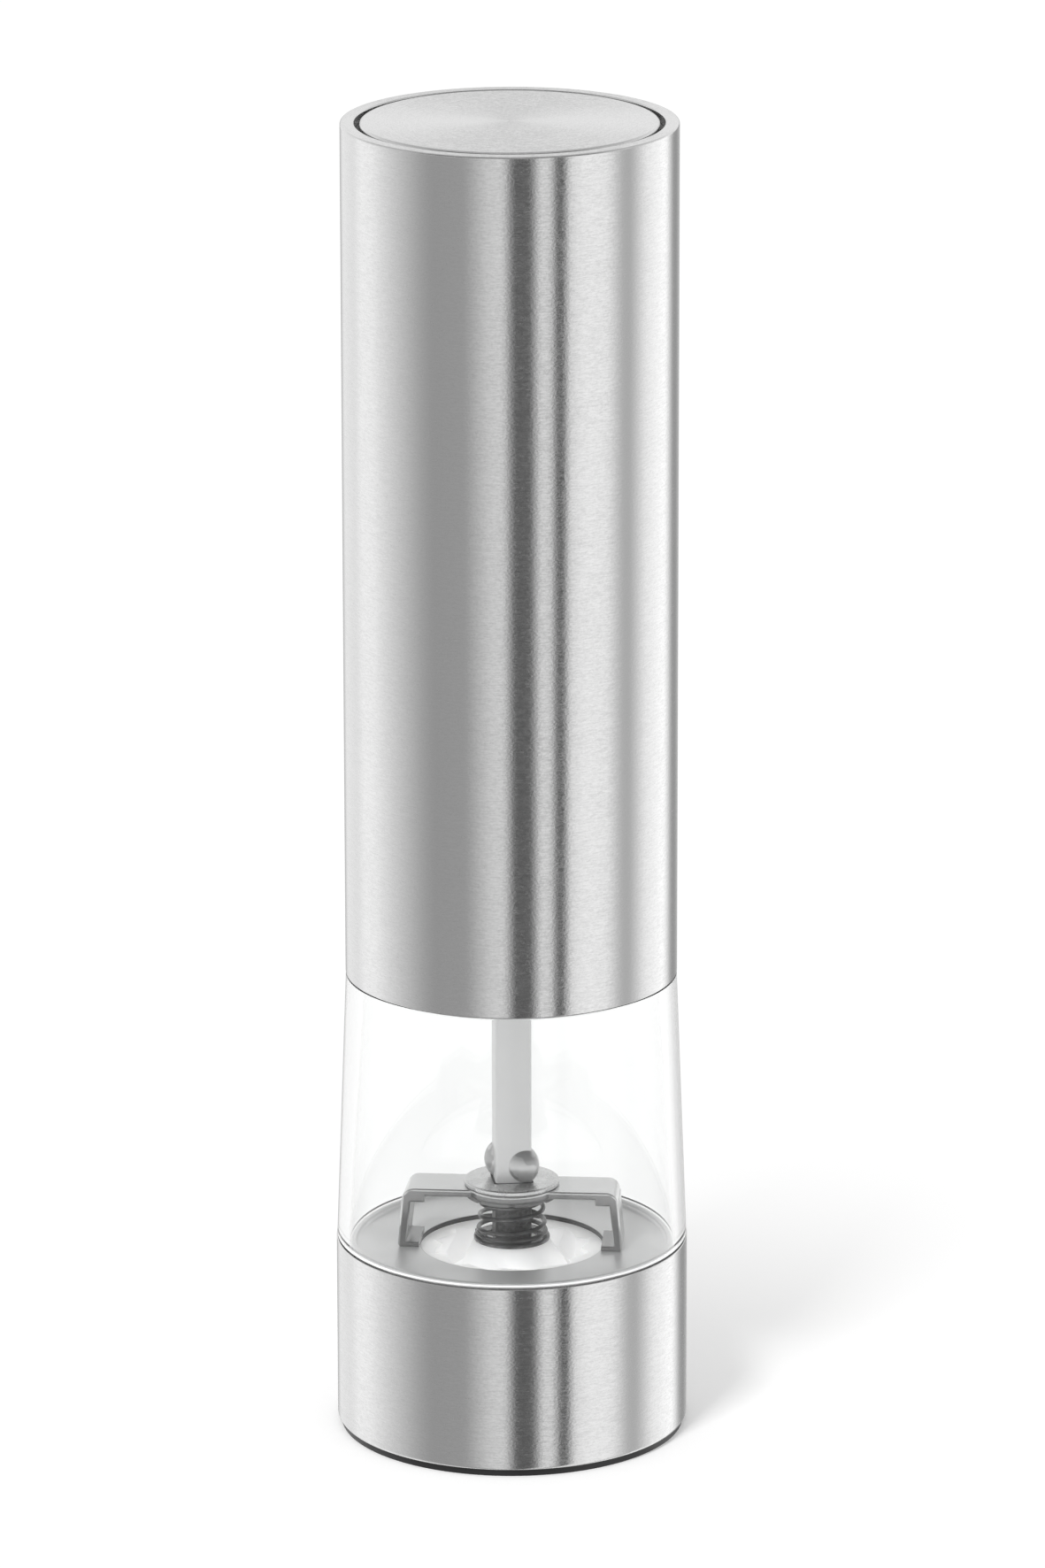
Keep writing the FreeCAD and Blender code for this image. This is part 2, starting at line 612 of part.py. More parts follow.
def screws(label, spots, height, points_up):
    """Countersunk screws whose heads lie flush at a height, pointing up or down."""
    things = []
    for number, (x, y) in enumerate(spots, 1):
        name = f"{label}_{number}"
        radii = {"Radius1": "screw_head_radius", "Radius2": "screw_radius"}
        if not points_up:
            radii = {"Radius1": "screw_radius", "Radius2": "screw_head_radius"}
        head_low = height if points_up else f"{height} - screw_head"
        shank_low = height if points_up else f"{height} - screw_length"
        head_sizes = {**radii, "Height": "screw_head"}
        shank_sizes = {"Radius": "screw_radius", "Height": "screw_length"}
        head = primitive("Part::Cone", name + "_head", head_sizes, x, y, head_low)
        shank = primitive("Part::Cylinder", name + "_shank", shank_sizes, x, y, shank_low)
        things += [head, shank]
    return joined(label, things)


def countersinks(body, name, spots, height, depth, up=True):
    """Through holes and seats for screws in a plate, with the seats at the given height."""
    for number, (x, y) in enumerate(spots, 1):
        low = height if up else f"{height} - {depth}"
        round_hole(body, f"{name}_{number}", x, y, "pilot_radius", low, depth)
        seat_low = height if up else f"{height} - screw_head"
        seat = sketch_on(body, f"{name}_seat_{number}", "XY_Plane", seat_low)
        circle(seat, x, y, "screw_head_radius + press_gap")
        pocket(body, seat, "screw_head")


def ring_of_spots(circle_radius, count, first_angle=0):
    """Places round the axis as pairs of expressions."""
    angles = [first_angle + 360 / count * number for number in range(count)]
    return [(f"{circle_radius} * cos({a})", f"{circle_radius} * sin({a})") for a in angles]


# Springs


def helix_point(turns, foot_radius, head_radius, height, crowding, along):
    """A point of a spring's wire, with along from 0 to 1; the rise is slower near both ends."""
    angle = 2 * math.pi * turns * along
    radius = foot_radius + (head_radius - foot_radius) * along
    rise = height * (along - crowding * math.sin(2 * math.pi * along) / (2 * math.pi))
    return FreeCAD.Vector(radius * math.cos(angle), radius * math.sin(angle), rise)


def arc_from(start, direction, stop):
    """The arc that leaves a point in a direction and reaches another point."""
    chord = stop - start
    middle = start + chord * 0.5
    along = direction.dot(chord) / chord.Length
    reach = chord.Length / 2 / (along / direction.Length)
    corner = start + direction.normalize() * reach
    side = corner - middle
    half_angle = math.atan2(side.Length, chord.Length / 2)
    sagitta = chord.Length / 2 * math.tan(half_angle / 2)
    return Part.Arc(start, middle + side.normalize() * sagitta, stop).toShape()


def biarc(start, start_way, stop, stop_way):
    """Two arcs that meet smoothly between two points with given unit directions."""
    chord = stop - start
    both = start_way + stop_way
    square_term = 2 * (1 - start_way.dot(stop_way))
    linear = 2 * chord.dot(both)
    constant = -chord.dot(chord)
    root = math.sqrt(linear * linear - 4 * square_term * constant)
    reach = (root - linear) / (2 * square_term)
    meeting = (start + stop + (start_way - stop_way) * reach) * 0.5
    meeting_way = (stop - stop_way * reach) - (start + start_way * reach)
    first = arc_from(start, FreeCAD.Vector(start_way), meeting)
    second = arc_from(meeting, FreeCAD.Vector(meeting_way), stop)
    return [first, second]


def spring(label, wire, foot_radius, head_radius, height, turns, crowding):
    """A coil spring as one unbroken tube between two flat seats, its foot at z = 0.

    Its ends run straight for one wire diameter, and its least gap to itself is printed.
    """
    clear = value("spring_gap")
    rise = height - wire - 2 * clear
    arguments = (turns, foot_radius, head_radius, rise, crowding)
    lift = FreeCAD.Vector(0, 0, wire / 2 + clear)

    def at(along):
        return helix_point(*arguments, along) + lift

    def way(along):
        step = 1e-4
        return (at(along + step) - at(along - step)).normalize()

    steps = round(turns * 4)
    edges = []
    for number in range(steps):
        first = number / steps
        last = (number + 1) / steps
        edges += biarc(at(first), way(first), at(last), way(last))
    tail = at(0) - way(0) * wire
    tip = at(1) + way(1) * wire
    edges.insert(0, Part.LineSegment(tail, at(0)).toShape())
    edges.append(Part.LineSegment(at(1), tip).toShape())
    path = Part.Wire(edges)
    section = Part.Wire(Part.makeCircle(wire / 2, tail, way(0)))
    tube = path.makePipeShell([section], True, False)
    samples = [at(number / (steps * 12)) for number in range(steps * 12 + 1)]
    half_turn = 24
    gaps = []
    for number, point in enumerate(samples):
        for other in samples[number + half_turn :]:
            gaps.append(point.distanceToPoint(other))
    length = sum(edge.Length for edge in edges)
    share = tube.Volume / (math.pi * wire * wire / 4 * length)
    print(f"{label}: least gap to itself {min(gaps) - wire:.2f} mm, volume share {share:.3f}")
    return tube


# Gears


def tooth_outline(teeth, tip, root, thinning):
    """Points round an involute gear with a tooth centred on +X.

    A flank's half angle at a radius is pi / (2 teeth) + inv(pressure) - inv(acos(base / radius)),
    less the thinning over the pitch radius.
    """
    pitch = MODULE * teeth / 2
    base = pitch * math.cos(PRESSURE)
    tip_radius = pitch + tip
    root_radius = pitch - root
    lowest = max(base, root_radius)
    flank_steps = 3
    half_thick = math.pi / (2 * teeth) - thinning / pitch
    flank = [(root_radius, None)] if root_radius < base else []
    for number in range(flank_steps + 1):
        radius = lowest + (tip_radius - lowest) * number / flank_steps
        at_radius = math.acos(min(1.0, base / radius))
        opening = math.tan(PRESSURE) - PRESSURE - (math.tan(at_radius) - at_radius)
        flank.append((radius, half_thick + opening))
    if flank[0][1] is None:
        flank[0] = (root_radius, flank[1][1])
    points = []
    for number in range(teeth):
        middle = 2 * math.pi * number / teeth
        rising = [(radius, middle - half) for radius, half in flank]
        falling = [(radius, middle + half) for radius, half in reversed(flank)]
        for radius, angle in rising + falling:
            points.append(FreeCAD.Vector(radius * math.cos(angle), radius * math.sin(angle), 0))
    return points


def prism(points, length):
    """A straight prism on a closed outline of points."""
    wire = Part.makePolygon(points + points[:1])
    return Part.Face(wire).extrude(FreeCAD.Vector(0, 0, length))


MODULE = value("tooth_module")
PRESSURE = math.radians(value("pressure_angle"))
ADDENDUM = MODULE * value("tooth_addendum")
DEDENDUM = MODULE * value("tooth_dedendum")
PLAY = value("tooth_play") / 2


def gear(teeth, length):
    """An outside gear of the gearbox, with stub teeth."""
    return prism(tooth_outline(teeth, ADDENDUM, DEDENDUM, PLAY), length)


# Lower part: housing, sleeve, chamber, floor

housing = turned(
    "lower_housing",
    "0",
    [
        ("housing_bore", "0"),
        ("foot_radius", "0"),
        ("foot_radius", "foot_height"),
        ("housing_radius", "foot_height"),
        ("housing_radius", "spigot_bottom"),
        ("deck_radius", "spigot_bottom"),
        ("deck_radius", "deck_top"),
        ("stator_bore", "deck_top"),
        ("stator_bore", "stator_bottom"),
        ("collar_radius", "stator_bottom"),
        ("collar_radius", "deck_top - deck_thickness"),
        ("deck_radius - housing_wall", "deck_top - deck_thickness"),
        ("deck_radius - housing_wall", "spigot_bottom - housing_wall"),
        ("housing_bore", "spigot_bottom - housing_wall"),
    ],
)
DECK_BOTTOM = "deck_top - deck_thickness"
BOSS_HEIGHT = f"{DECK_BOTTOM} - stator_bottom"
round_post(
    housing,
    "screw_boss",
    "retainer_screw_circle",
    "0",
    "screw_boss_radius",
    "stator_bottom",
    BOSS_HEIGHT,
    3,
)
round_hole(
    housing,
    "screw_pilot",
    "retainer_screw_circle",
    "0",
    "pilot_radius",
    "stator_bottom",
    "screw_length - retainer_thickness + press_gap",
    3,
)
LUG_HALF = "lug_width / 2 + press_gap"
LUG_END = "stator_radius + lug_reach + press_gap"
shaped_hole(
    housing,
    "lug_slot",
    rectangle("stator_radius - lug_reach", LUG_END, f"-({LUG_HALF})", LUG_HALF),
    "stator_bottom",
    "lug_height + press_gap",
    3,
    "60",
)
TAB_OUTER = "bridge_half_span"
TAB_INNER = "bridge_half_span - bridge_leg"
TAB_HALF = "tab_width / 2 + press_gap"
TAB_SLOT = rectangle(
    f"{TAB_INNER} - press_gap", f"{TAB_OUTER} + press_gap", f"-({TAB_HALF})", TAB_HALF
)
TAB_BOTTOM = "floor_top - tab_depth"
shaped_hole(
    housing, "tab_slot", TAB_SLOT, f"{TAB_BOTTOM} - press_gap", "tab_depth", 2, "bridge_turn"
)

turned(
    "base_sleeve",
    "foot_height",
    [
        ("base_radius - base_wall", "0"),
        ("base_radius - base_edge", "0", "base_radius - base_edge"),
        ("base_radius", "base_edge"),
        ("base_radius", "base_height"),
        ("base_radius - base_wall", "base_height"),
    ],
)

NECK_LOCAL = "neck_top - spigot_bottom"
SHOULDER_LOCAL = "chamber_top - spigot_bottom"
turned(
    "pepper_chamber",
    "spigot_bottom",
    [
        ("spigot_radius - spigot_wall", "0"),
        ("spigot_radius", "0"),
        ("spigot_radius", "spigot_depth"),
        ("chamber_foot_radius", "spigot_depth"),
        ("chamber_head_radius", SHOULDER_LOCAL),
        ("neck_radius", SHOULDER_LOCAL),
        ("neck_radius", NECK_LOCAL),
        ("mouth_radius", NECK_LOCAL),
        ("mouth_radius", SHOULDER_LOCAL),
        ("chamber_foot_radius - chamber_wall", "spigot_depth"),
        ("spigot_radius - spigot_wall", "spigot_depth - chamber_chamfer"),
    ],
)

floor_plate = turned(
    "chamber_floor",
    "deck_top",
    [
        ("floor_hole_radius", "0"),
        ("deck_radius", "0"),
        ("deck_radius", "floor_lip_height"),
        ("deck_radius - floor_lip_width", "floor_lip_height"),
        ("deck_radius - floor_lip_width", "floor_thickness + floor_rise"),
        ("floor_flat_radius", "floor_thickness"),
        ("floor_hole_radius", "floor_thickness"),
    ],
)
shaped_hole(floor_plate, "floor_slot", TAB_SLOT, "0", "floor_thickness", 2, "bridge_turn")

# Bridge with its bush

bridge = document.addObject("PartDesign::Body", "bridge_bracket")
bridge_side = [
    ("bridge_half_span", "0"),
    ("bridge_half_span - toe_length", "0"),
    ("bridge_half_span - toe_length", "toe_thickness"),
    ("bridge_half_span - bridge_leg", "toe_thickness"),
    ("bridge_shoulder - bridge_leg", "bridge_height - gusset_depth"),
    ("gusset_reach", "bridge_height - gusset_depth"),
    ("gusset_reach", "bridge_height - bridge_strap"),
]
bridge_corner = [
    ("bridge_shoulder - bridge_round", "bridge_height", "bridge_shoulder - bridge_round"),
    ("bridge_shoulder", "bridge_height - bridge_round"),
]
left_corner = [
    ("-bridge_shoulder", "bridge_height - bridge_round", "bridge_round - bridge_shoulder"),
    ("bridge_round - bridge_shoulder", "bridge_height"),
]
bridge_outline = sketch_on(bridge, "bridge_outline", "XZ_Plane")
left_side = [(f"-({x})", y) for x, y in reversed(bridge_side)]
outline(bridge_outline, bridge_side + left_side + left_corner + bridge_corner)
pad(bridge, bridge_outline, "bridge_width", midplane=True)
STRAP_UNDERSIDE = "bridge_height - bridge_strap"
round_post(bridge, "bridge_boss", "0", "0", "bridge_boss_radius", STRAP_UNDERSIDE, "bridge_strap")
tab_sketch = sketch_on(bridge, "bridge_tab", "XY_Plane", "-tab_depth")
outline(tab_sketch, rectangle(TAB_INNER, TAB_OUTER, "-tab_width / 2", "tab_width / 2"))
tab_pad = pad(bridge, tab_sketch, "tab_depth + toe_thickness")
polar(bridge, tab_pad, 2)
round_hole(
    bridge, "bush_seat", "0", "0", "bush_radius + press_gap", STRAP_UNDERSIDE, "bridge_strap"
)
place(bridge, "floor_top", "bridge_turn")
node(bridge, "bridge_bracket")

shaft_bush = turned(
    "shaft_bush",
    "bush_bottom",
    [
        ("shaft_corner + running_gap", "0"),
        ("bush_flange_radius", "0"),
        ("bush_flange_radius", "bush_flange"),
        ("bush_radius", "bush_flange"),
        ("bush_radius", "bush_flange + bridge_strap"),
        ("shaft_corner + running_gap", "bush_flange + bridge_strap"),
    ],
)
round_hole(shaft_bush, "notch", "bush_flange_radius", "0", "bush_notch", "0", "bush_flange", 8)

# Shaft with its ears, washer and spring

bar = document.addObject("PartDesign::Body", "shaft_bar")
bar_section = sketch_on(bar, "bar_section", "XY_Plane", "square_bottom")
outline(bar_section, square("shaft_width / 2"))
pad(bar, bar_section, "shaft_top - square_bottom")
round_post(bar, "stud", "0", "0", "stud_radius", "stud_bottom", "square_bottom - stud_bottom")
ears = []
for side in (-1, 1):
    balls = []
    for way in (-1, 1):
        across = f"{way} * (ear_ball - ear_half_thickness)"
        x = f"({side} * ear_reach + {across}) * sqrt(0.5)"
        y = f"({across} - {side} * ear_reach) * sqrt(0.5)"
        name = f"ear_ball_{side + 2}{way + 2}"
        balls.append(primitive("Part::Sphere", name, {"Radius": "ear_ball"}, x, y, "ear_middle"))
    ear = document.addObject("Part::Common", f"ear_{side + 2}")
    ear.Base = balls[0]
    ear.Tool = balls[1]
    ears.append(ear)
drive_shaft = joined("drive_shaft", [bar] + ears)
place(drive_shaft, "0", "shaft_turn")

HOLE_HALF = "shaft_width / 2 + shaft_gap"
washer = turned(
    "shaft_washer",
    "washer_bottom",
    rectangle("stud_radius", "washer_radius", "0", "washer_thickness"),
)
WASHER_HALF = "shaft_width / 2 + washer_gap"
WASHER_HOLE = square(WASHER_HALF)
shaped_hole(washer, "washer_hole", WASHER_HOLE, "0", "washer_thickness", None, "shaft_turn")

spring_shape = spring(
    "mill_spring",
    value("spring_wire"),
    value("spring_foot_radius"),
    value("spring_head_radius"),
    value("bush_bottom - spring_seat"),
    value("spring_turns"),
    value("spring_crowding"),
)
shaped("mill_spring", spring_shape, z=value("spring_seat"), turn=value("spring_turn"))

# Ceramic mill


def lobed_section(lobes, radius, swing, turn, z):
    """A smooth closed wire with r = radius + swing * cos(lobes * (angle - turn))."""
    count = 8 * lobes
    points = []
    for number in range(count):
        angle = 2 * math.pi * number / count
        reach = radius + swing * math.cos(lobes * (angle - turn))
        points.append(FreeCAD.Vector(reach * math.cos(angle), reach * math.sin(angle), z))
    curve = Part.BSplineCurve()
    curve.interpolate(points, PeriodicFlag=True)
    return Part.Wire(curve.toShape())


def saw_section(teeth, tip, root, turn, z):
    """A saw-toothed wire: each tooth rises from the root to the tip over most of its width."""
    points = []
    for number in range(teeth):
        start = turn + 2 * math.pi * number / teeth
        for share, radius in ((0.0, root), (0.75, tip)):
            angle = start + 2 * math.pi * share / teeth
            points.append(FreeCAD.Vector(radius * math.cos(angle), radius * math.sin(angle), z))
    return Part.makePolygon(points + points[:1])


def rotor_shape():
    """Lobes that widen downwards on a toothed foot, with a square hole for the shaft."""
    height = value("rotor_height")
    crown = value("rotor_crown_height")
    hub = value("rotor_hub_radius")
    foot = value("rotor_foot_radius")
    lobes = round(value("rotor_lobes"))
    teeth = round(value("rotor_teeth"))
    depth = value("rotor_tooth_depth")
    waist = foot - value("rotor_waist")
    lobe_twist = value("rotor_lobe_twist")
    tooth_twist = value("rotor_tooth_twist")
    sections = []
    for share, swing in ((0.0, 0.0), (0.15, 0.04), (0.45, 0.17), (0.75, 0.24), (1.0, 0.1)):
        reach = hub + (waist - hub) * share**1.3
        radius = reach / (1 + swing)
        turn = math.radians(-90 + lobe_twist * share)
        z = height - crown * share
        sections.append(lobed_section(lobes, radius, radius * swing, turn, z))
    lobed = Part.makeLoft(sections, True, False)
    saws = []
    for share in (0.0, 0.5, 1.0):
        tip = foot + (waist - foot) * share
        z = (height - crown) * share
        turn = math.radians(tooth_twist * share)
        saws.append(saw_section(teeth, tip, tip - depth, turn, z))
    foot_cone = Part.makeLoft(saws, True, True)
    side = value("shaft_width + 2 * shaft_gap")
    corner = FreeCAD.Vector(-side / 2, -side / 2, -1)
    hole = Part.makeBox(side, side, height + 2, corner)
    hole.rotate(FreeCAD.Vector(), FreeCAD.Vector(0, 0, 1), value("shaft_turn"))
    return lobed.fuse(foot_cone).cut(hole)


def stator_shape():
    """A ring with saw teeth inside, which widen downwards, and lugs outside."""
    height = value("stator_height")
    outside = value("stator_radius")
    teeth = round(value("stator_teeth"))
    ring = Part.makeCylinder(outside, height)
    half = value("lug_width") / 2
    reach = outside + value("lug_reach")
    inset = outside - value("lug_reach")
    for angle in (60, 180, 300):
        corner = FreeCAD.Vector(inset, -half, 0)
        lug = Part.makeBox(reach - inset, 2 * half, value("lug_height"), corner)
        lug.rotate(FreeCAD.Vector(), FreeCAD.Vector(0, 0, 1), angle)
        ring = ring.fuse(lug)
    head = value("stator_head_radius")
    foot = value("stator_foot_radius")
    head_depth = value("stator_head_depth")
    foot_depth = value("stator_foot_depth")
    twist = value("stator_twist")
    foot_turn = value("stator_turn")
    saws = []
    for share in (-0.1, 0.3, 0.7, 1.1):
        inner = foot + (head - foot) * share
        depth = foot_depth + (head_depth - foot_depth) * share
        turn = math.radians(foot_turn - twist * share)
        saws.append(saw_section(teeth, inner + depth, inner, turn, height * share))
    return ring.cut(Part.makeLoft(saws, True, True))


shaped("ceramic_rotor", rotor_shape(), z=value("rotor_bottom"))
shaped("ceramic_stator", stator_shape(), z=value("stator_bottom"))
turned(
    "rotor_washer",
    "rotor_top",
    rectangle("shaft_corner + running_gap", "rotor_hub_radius", "0", "rotor_washer_thickness"),
)

RETAINER_SPOTS = ring_of_spots("retainer_screw_circle", 3)
retainer = turned(
    "stator_retainer",
    "retainer_bottom",
    rectangle("retainer_hole_radius", "retainer_radius", "0", "retainer_thickness"),
)
countersinks(retainer, "retainer_hole", RETAINER_SPOTS, "0", "retainer_thickness")
screws("retainer_screws", RETAINER_SPOTS, "retainer_bottom", True)

# Grind adjuster under the base

KNOB_HEIGHT = "knob_top - knob_recess"
NUT_POCKET = f"{KNOB_HEIGHT} - nut_length"
knob = turned(
    "adjuster_knob",
    "knob_recess",
    [
        ("0", "0"),
        ("knob_radius - knob_edge", "0", "knob_radius - knob_edge"),
        ("knob_radius", "knob_edge"),
        ("knob_radius", "knob_grip - knob_edge", "knob_radius - knob_edge"),
        ("knob_radius - knob_edge", "knob_grip"),
        ("knob_hub_radius", "knob_grip"),
        ("knob_hub_radius", KNOB_HEIGHT),
        ("nut_radius + press_gap", KNOB_HEIGHT),
        ("nut_radius + press_gap", NUT_POCKET),
        ("stud_radius + running_gap", NUT_POCKET),
        ("stud_radius + running_gap", "knob_skin"),
        ("0", "knob_skin"),
    ],
)
round_post(
    knob,
    "grip_rib",
    "knob_radius - knob_rib_radius / 3",
    "0",
    "knob_rib_radius",
    "knob_edge",
    "knob_grip - 2 * knob_edge",
    "knob_ribs",
)
turned(
    "adjuster_nut",
    "knob_top - nut_length",
    rectangle("stud_radius + press_gap", "nut_radius", "0", "nut_length"),
)

# Drive unit: plug in the chamber's neck

FLANGE_LOCAL = "flange_bottom - unit_bottom"
turned(
    "unit_base",
    "unit_bottom",
    [
        ("plug_hole_radius", "0"),
        ("plug_radius", "0"),
        ("plug_radius", FLANGE_LOCAL),
        ("neck_radius", FLANGE_LOCAL),
        ("neck_radius", f"{FLANGE_LOCAL} + flange_thickness"),
        ("plug_radius - plug_wall", f"{FLANGE_LOCAL} + flange_thickness"),
        ("plug_radius - plug_wall", "plug_floor"),
        ("plug_hole_radius", "plug_floor"),
    ],
)

# Gearbox

SUN_TEETH = round(value("sun_teeth"))
PLANET_TEETH = round(value("planet_teeth"))
RING_TEETH = SUN_TEETH + 2 * PLANET_TEETH
PLANETS = round(value("planet_count"))
SUN_PHASE = 180 / SUN_TEETH * ((PLANET_TEETH + 1) % 2)
TURNS_SUM = SUN_TEETH + RING_TEETH
PLANET_ANGLES = [
    round(number * TURNS_SUM / PLANETS) * 360 / TURNS_SUM for number in range(PLANETS)
]


def gearbox_shape():
    """A cup with ring gear teeth inside and a flange at its top."""
    height = value("gearbox_top - gear_bottom")
    outside = value("gearbox_radius")
    flange = value("gearbox_flange")
    flange_radius = value("gearbox_flange_radius")
    cup = Part.makeCylinder(outside, height)
    corner = FreeCAD.Vector(0, 0, height - flange)
    cup = cup.fuse(Part.makeCylinder(flange_radius, flange, corner))
    low = value("planet_two_bottom - gear_bottom - planet_gap")
    floor = value("gearbox_floor")
    cavity = value("ring_root")
    cup = cup.cut(Part.makeCylinder(cavity, low - floor, FreeCAD.Vector(0, 0, floor)))
    bush = value("output_bush_radius + press_gap")
    cup = cup.cut(Part.makeCylinder(bush, floor))
    pilot = value("pilot_radius")
    depth = value("screw_length - motor_plate_thickness + press_gap")
    circle_radius = value("ring_root + gearbox_wall / 2")
    for angle in (30, 150, 270):
        x = circle_radius * math.cos(math.radians(angle))
        y = circle_radius * math.sin(math.radians(angle))
        hole = Part.makeCylinder(pilot, depth, FreeCAD.Vector(x, y, height - depth))
        cup = cup.cut(hole)
    teeth = prism(tooth_outline(RING_TEETH, DEDENDUM, ADDENDUM, -PLAY), height)
    teeth.translate(FreeCAD.Vector(0, 0, low))
    return cup.cut(teeth)


shaped("gearbox_housing", gearbox_shape(), z=value("gear_bottom"))
turned(
    "output_bush",
    "gear_bottom",
    [
        ("bush_bore", "0"),
        ("output_bush_radius", "0"),
        ("output_bush_radius", "gearbox_floor"),
        ("output_bush_radius + bush_rim", "gearbox_floor"),
        ("output_bush_radius + bush_rim", "gearbox_floor + bush_rim"),
        ("bush_bore", "gearbox_floor + bush_rim"),
    ],
)

PLATE_LOCAL = "output_bottom - hub_bottom"
output_carrier = turned(
    "output_carrier",
    "hub_bottom",
    [
        ("0", "0"),
        ("hub_radius", "0"),
        ("hub_radius", PLATE_LOCAL),
        ("carrier_radius", PLATE_LOCAL),
        ("carrier_radius", f"{PLATE_LOCAL} + output_plate"),
        ("0", f"{PLATE_LOCAL} + output_plate"),
    ],
)
shaped_hole(
    output_carrier,
    "shaft_socket",
    square(HOLE_HALF),
    "0",
    "socket_top - hub_bottom",
    None,
    "shaft_turn",
)
PIN_SEAT = "pin_radius + press_gap"


def pin_circles(sketch, radius):
    """A circle at the place of each planet."""
    for angle in PLANET_ANGLES:
        circle(sketch, f"orbit_radius * cos({angle})", f"orbit_radius * sin({angle})", radius)


pin_seats = sketch_on(
    output_carrier, "pin_seats", "XY_Plane", f"{PLATE_LOCAL} + output_plate / 2"
)
pin_circles(pin_seats, PIN_SEAT)
pocket(output_carrier, pin_seats, "output_plate / 2")


def planet_pins(label, plate_bottom, plate, planet_bottom):
    """Steel pins from the middle of a carrier's plate to the top of its planets."""
    body = document.addObject("PartDesign::Body", label)
    low = f"{plate_bottom} + {plate} / 2"
    sketch = sketch_on(body, label + "_pin", "XY_Plane")
    pin_circles(sketch, "pin_radius")
    pad(body, sketch, f"{planet_bottom} + planet_width - ({low})")
    place(body, low)
    node(body, label)


def planets(label, bottom):
    """The planet gears of one stage, each with a tooth in a space of the ring gear."""
    bore = value("pin_radius + running_gap")
    width = value("planet_width")
    reach = value("orbit_radius")
    wheel = gear(PLANET_TEETH, width).cut(Part.makeCylinder(bore, width))
    for number, angle in enumerate(PLANET_ANGLES, 1):
        x = reach * math.cos(math.radians(angle))
        y = reach * math.sin(math.radians(angle))
        turn = angle * (1 - RING_TEETH / PLANET_TEETH)
        shaped(f"{label}_{number}", wheel.copy(), x, y, value(bottom), turn)


planet_pins("output_pins", "output_bottom", "output_plate", "planet_two_bottom")
planets("output_planet", "planet_two_bottom")


def stage_carrier_shape():
    """The first stage's plate with the second sun gear under it."""
    plate = value("stage_plate")
    sun = value("stage_bottom - planet_two_bottom")
    disc = Part.makeCylinder(value("carrier_radius"), plate, FreeCAD.Vector(0, 0, sun))
    teeth = gear(SUN_TEETH, sun)
    teeth.rotate(FreeCAD.Vector(), FreeCAD.Vector(0, 0, 1), SUN_PHASE)
    carrier = disc.fuse(teeth)
    reach = value("orbit_radius")
    seat = value(PIN_SEAT)
    for angle in PLANET_ANGLES:
        x = reach * math.cos(math.radians(angle))
        y = reach * math.sin(math.radians(angle))
        corner = FreeCAD.Vector(x, y, sun + plate / 2)
        carrier = carrier.cut(Part.makeCylinder(seat, plate, corner))
    return carrier


shaped("stage_carrier", stage_carrier_shape(), z=value("planet_two_bottom"))
planet_pins("stage_pins", "stage_bottom", "stage_plate", "planet_one_bottom")
planets("stage_planet", "planet_one_bottom")

# Motor

PLATE_SPOTS = ring_of_spots("(ring_root + gearbox_wall / 2)", 3, 30)
MOTOR_SPOTS = ring_of_spots("motor_screw_circle", 2)
motor_plate = turned(
    "motor_plate",
    "gearbox_top",
    rectangle(
        "motor_boss_radius + press_gap",
        "gearbox_flange_radius",
        "0",
        "motor_plate_thickness",
    ),
)
countersinks(
    motor_plate, "plate_hole", PLATE_SPOTS, "motor_plate_thickness", "motor_plate_thickness", False
)
countersinks(motor_plate, "motor_hole", MOTOR_SPOTS, "0", "motor_plate_thickness")
screws("gearbox_screws", PLATE_SPOTS, "motor_bottom", False)
MOTOR_SCREW_PARTS = []
for number, (x, y) in enumerate(MOTOR_SPOTS, 1):
    cone = {"Radius1": "screw_head_radius", "Radius2": "screw_radius", "Height": "screw_head"}
    rod = {"Radius": "screw_radius", "Height": "motor_plate_thickness + motor_wall"}
    MOTOR_SCREW_PARTS += [
        primitive("Part::Cone", f"motor_screw_head_{number}", cone, x, y, "gearbox_top"),
        primitive("Part::Cylinder", f"motor_screw_rod_{number}", rod, x, y, "gearbox_top"),
    ]
joined("motor_screws", MOTOR_SCREW_PARTS)

CAN_BORE = "motor_radius - motor_wall"
BOSS_LOCAL = "-motor_plate_thickness"
motor_can = turned(
    "motor_can",
    "motor_bottom",
    [
        ("motor_shaft_radius + running_gap", BOSS_LOCAL),
        ("motor_boss_radius", BOSS_LOCAL),
        ("motor_boss_radius", "0"),
        ("motor_radius", "0"),
        ("motor_radius", "motor_length"),
        (CAN_BORE, "motor_length"),
        (CAN_BORE, "motor_wall"),
        ("motor_shaft_radius + running_gap", "motor_wall"),
    ],
)
for number, (x, y) in enumerate(MOTOR_SPOTS, 1):
    round_hole(motor_can, f"can_hole_{number}", x, y, "pilot_radius", "0", "motor_wall")
turned(
    "motor_end_cap",
    "motor_top",
    [
        ("motor_shaft_radius + running_gap", "-motor_cap"),
        (f"{CAN_BORE} - press_gap", "-motor_cap"),
        (f"{CAN_BORE} - press_gap", "0"),
        ("motor_radius", "0"),
        ("motor_radius", "motor_cap / 2"),
        ("motor_boss_radius", "motor_cap / 2"),
        ("motor_boss_radius", "motor_cap"),
        ("0", "motor_cap"),
        ("0", "motor_cap / 2"),
        ("motor_shaft_radius + running_gap", "motor_cap / 2"),
    ],
)


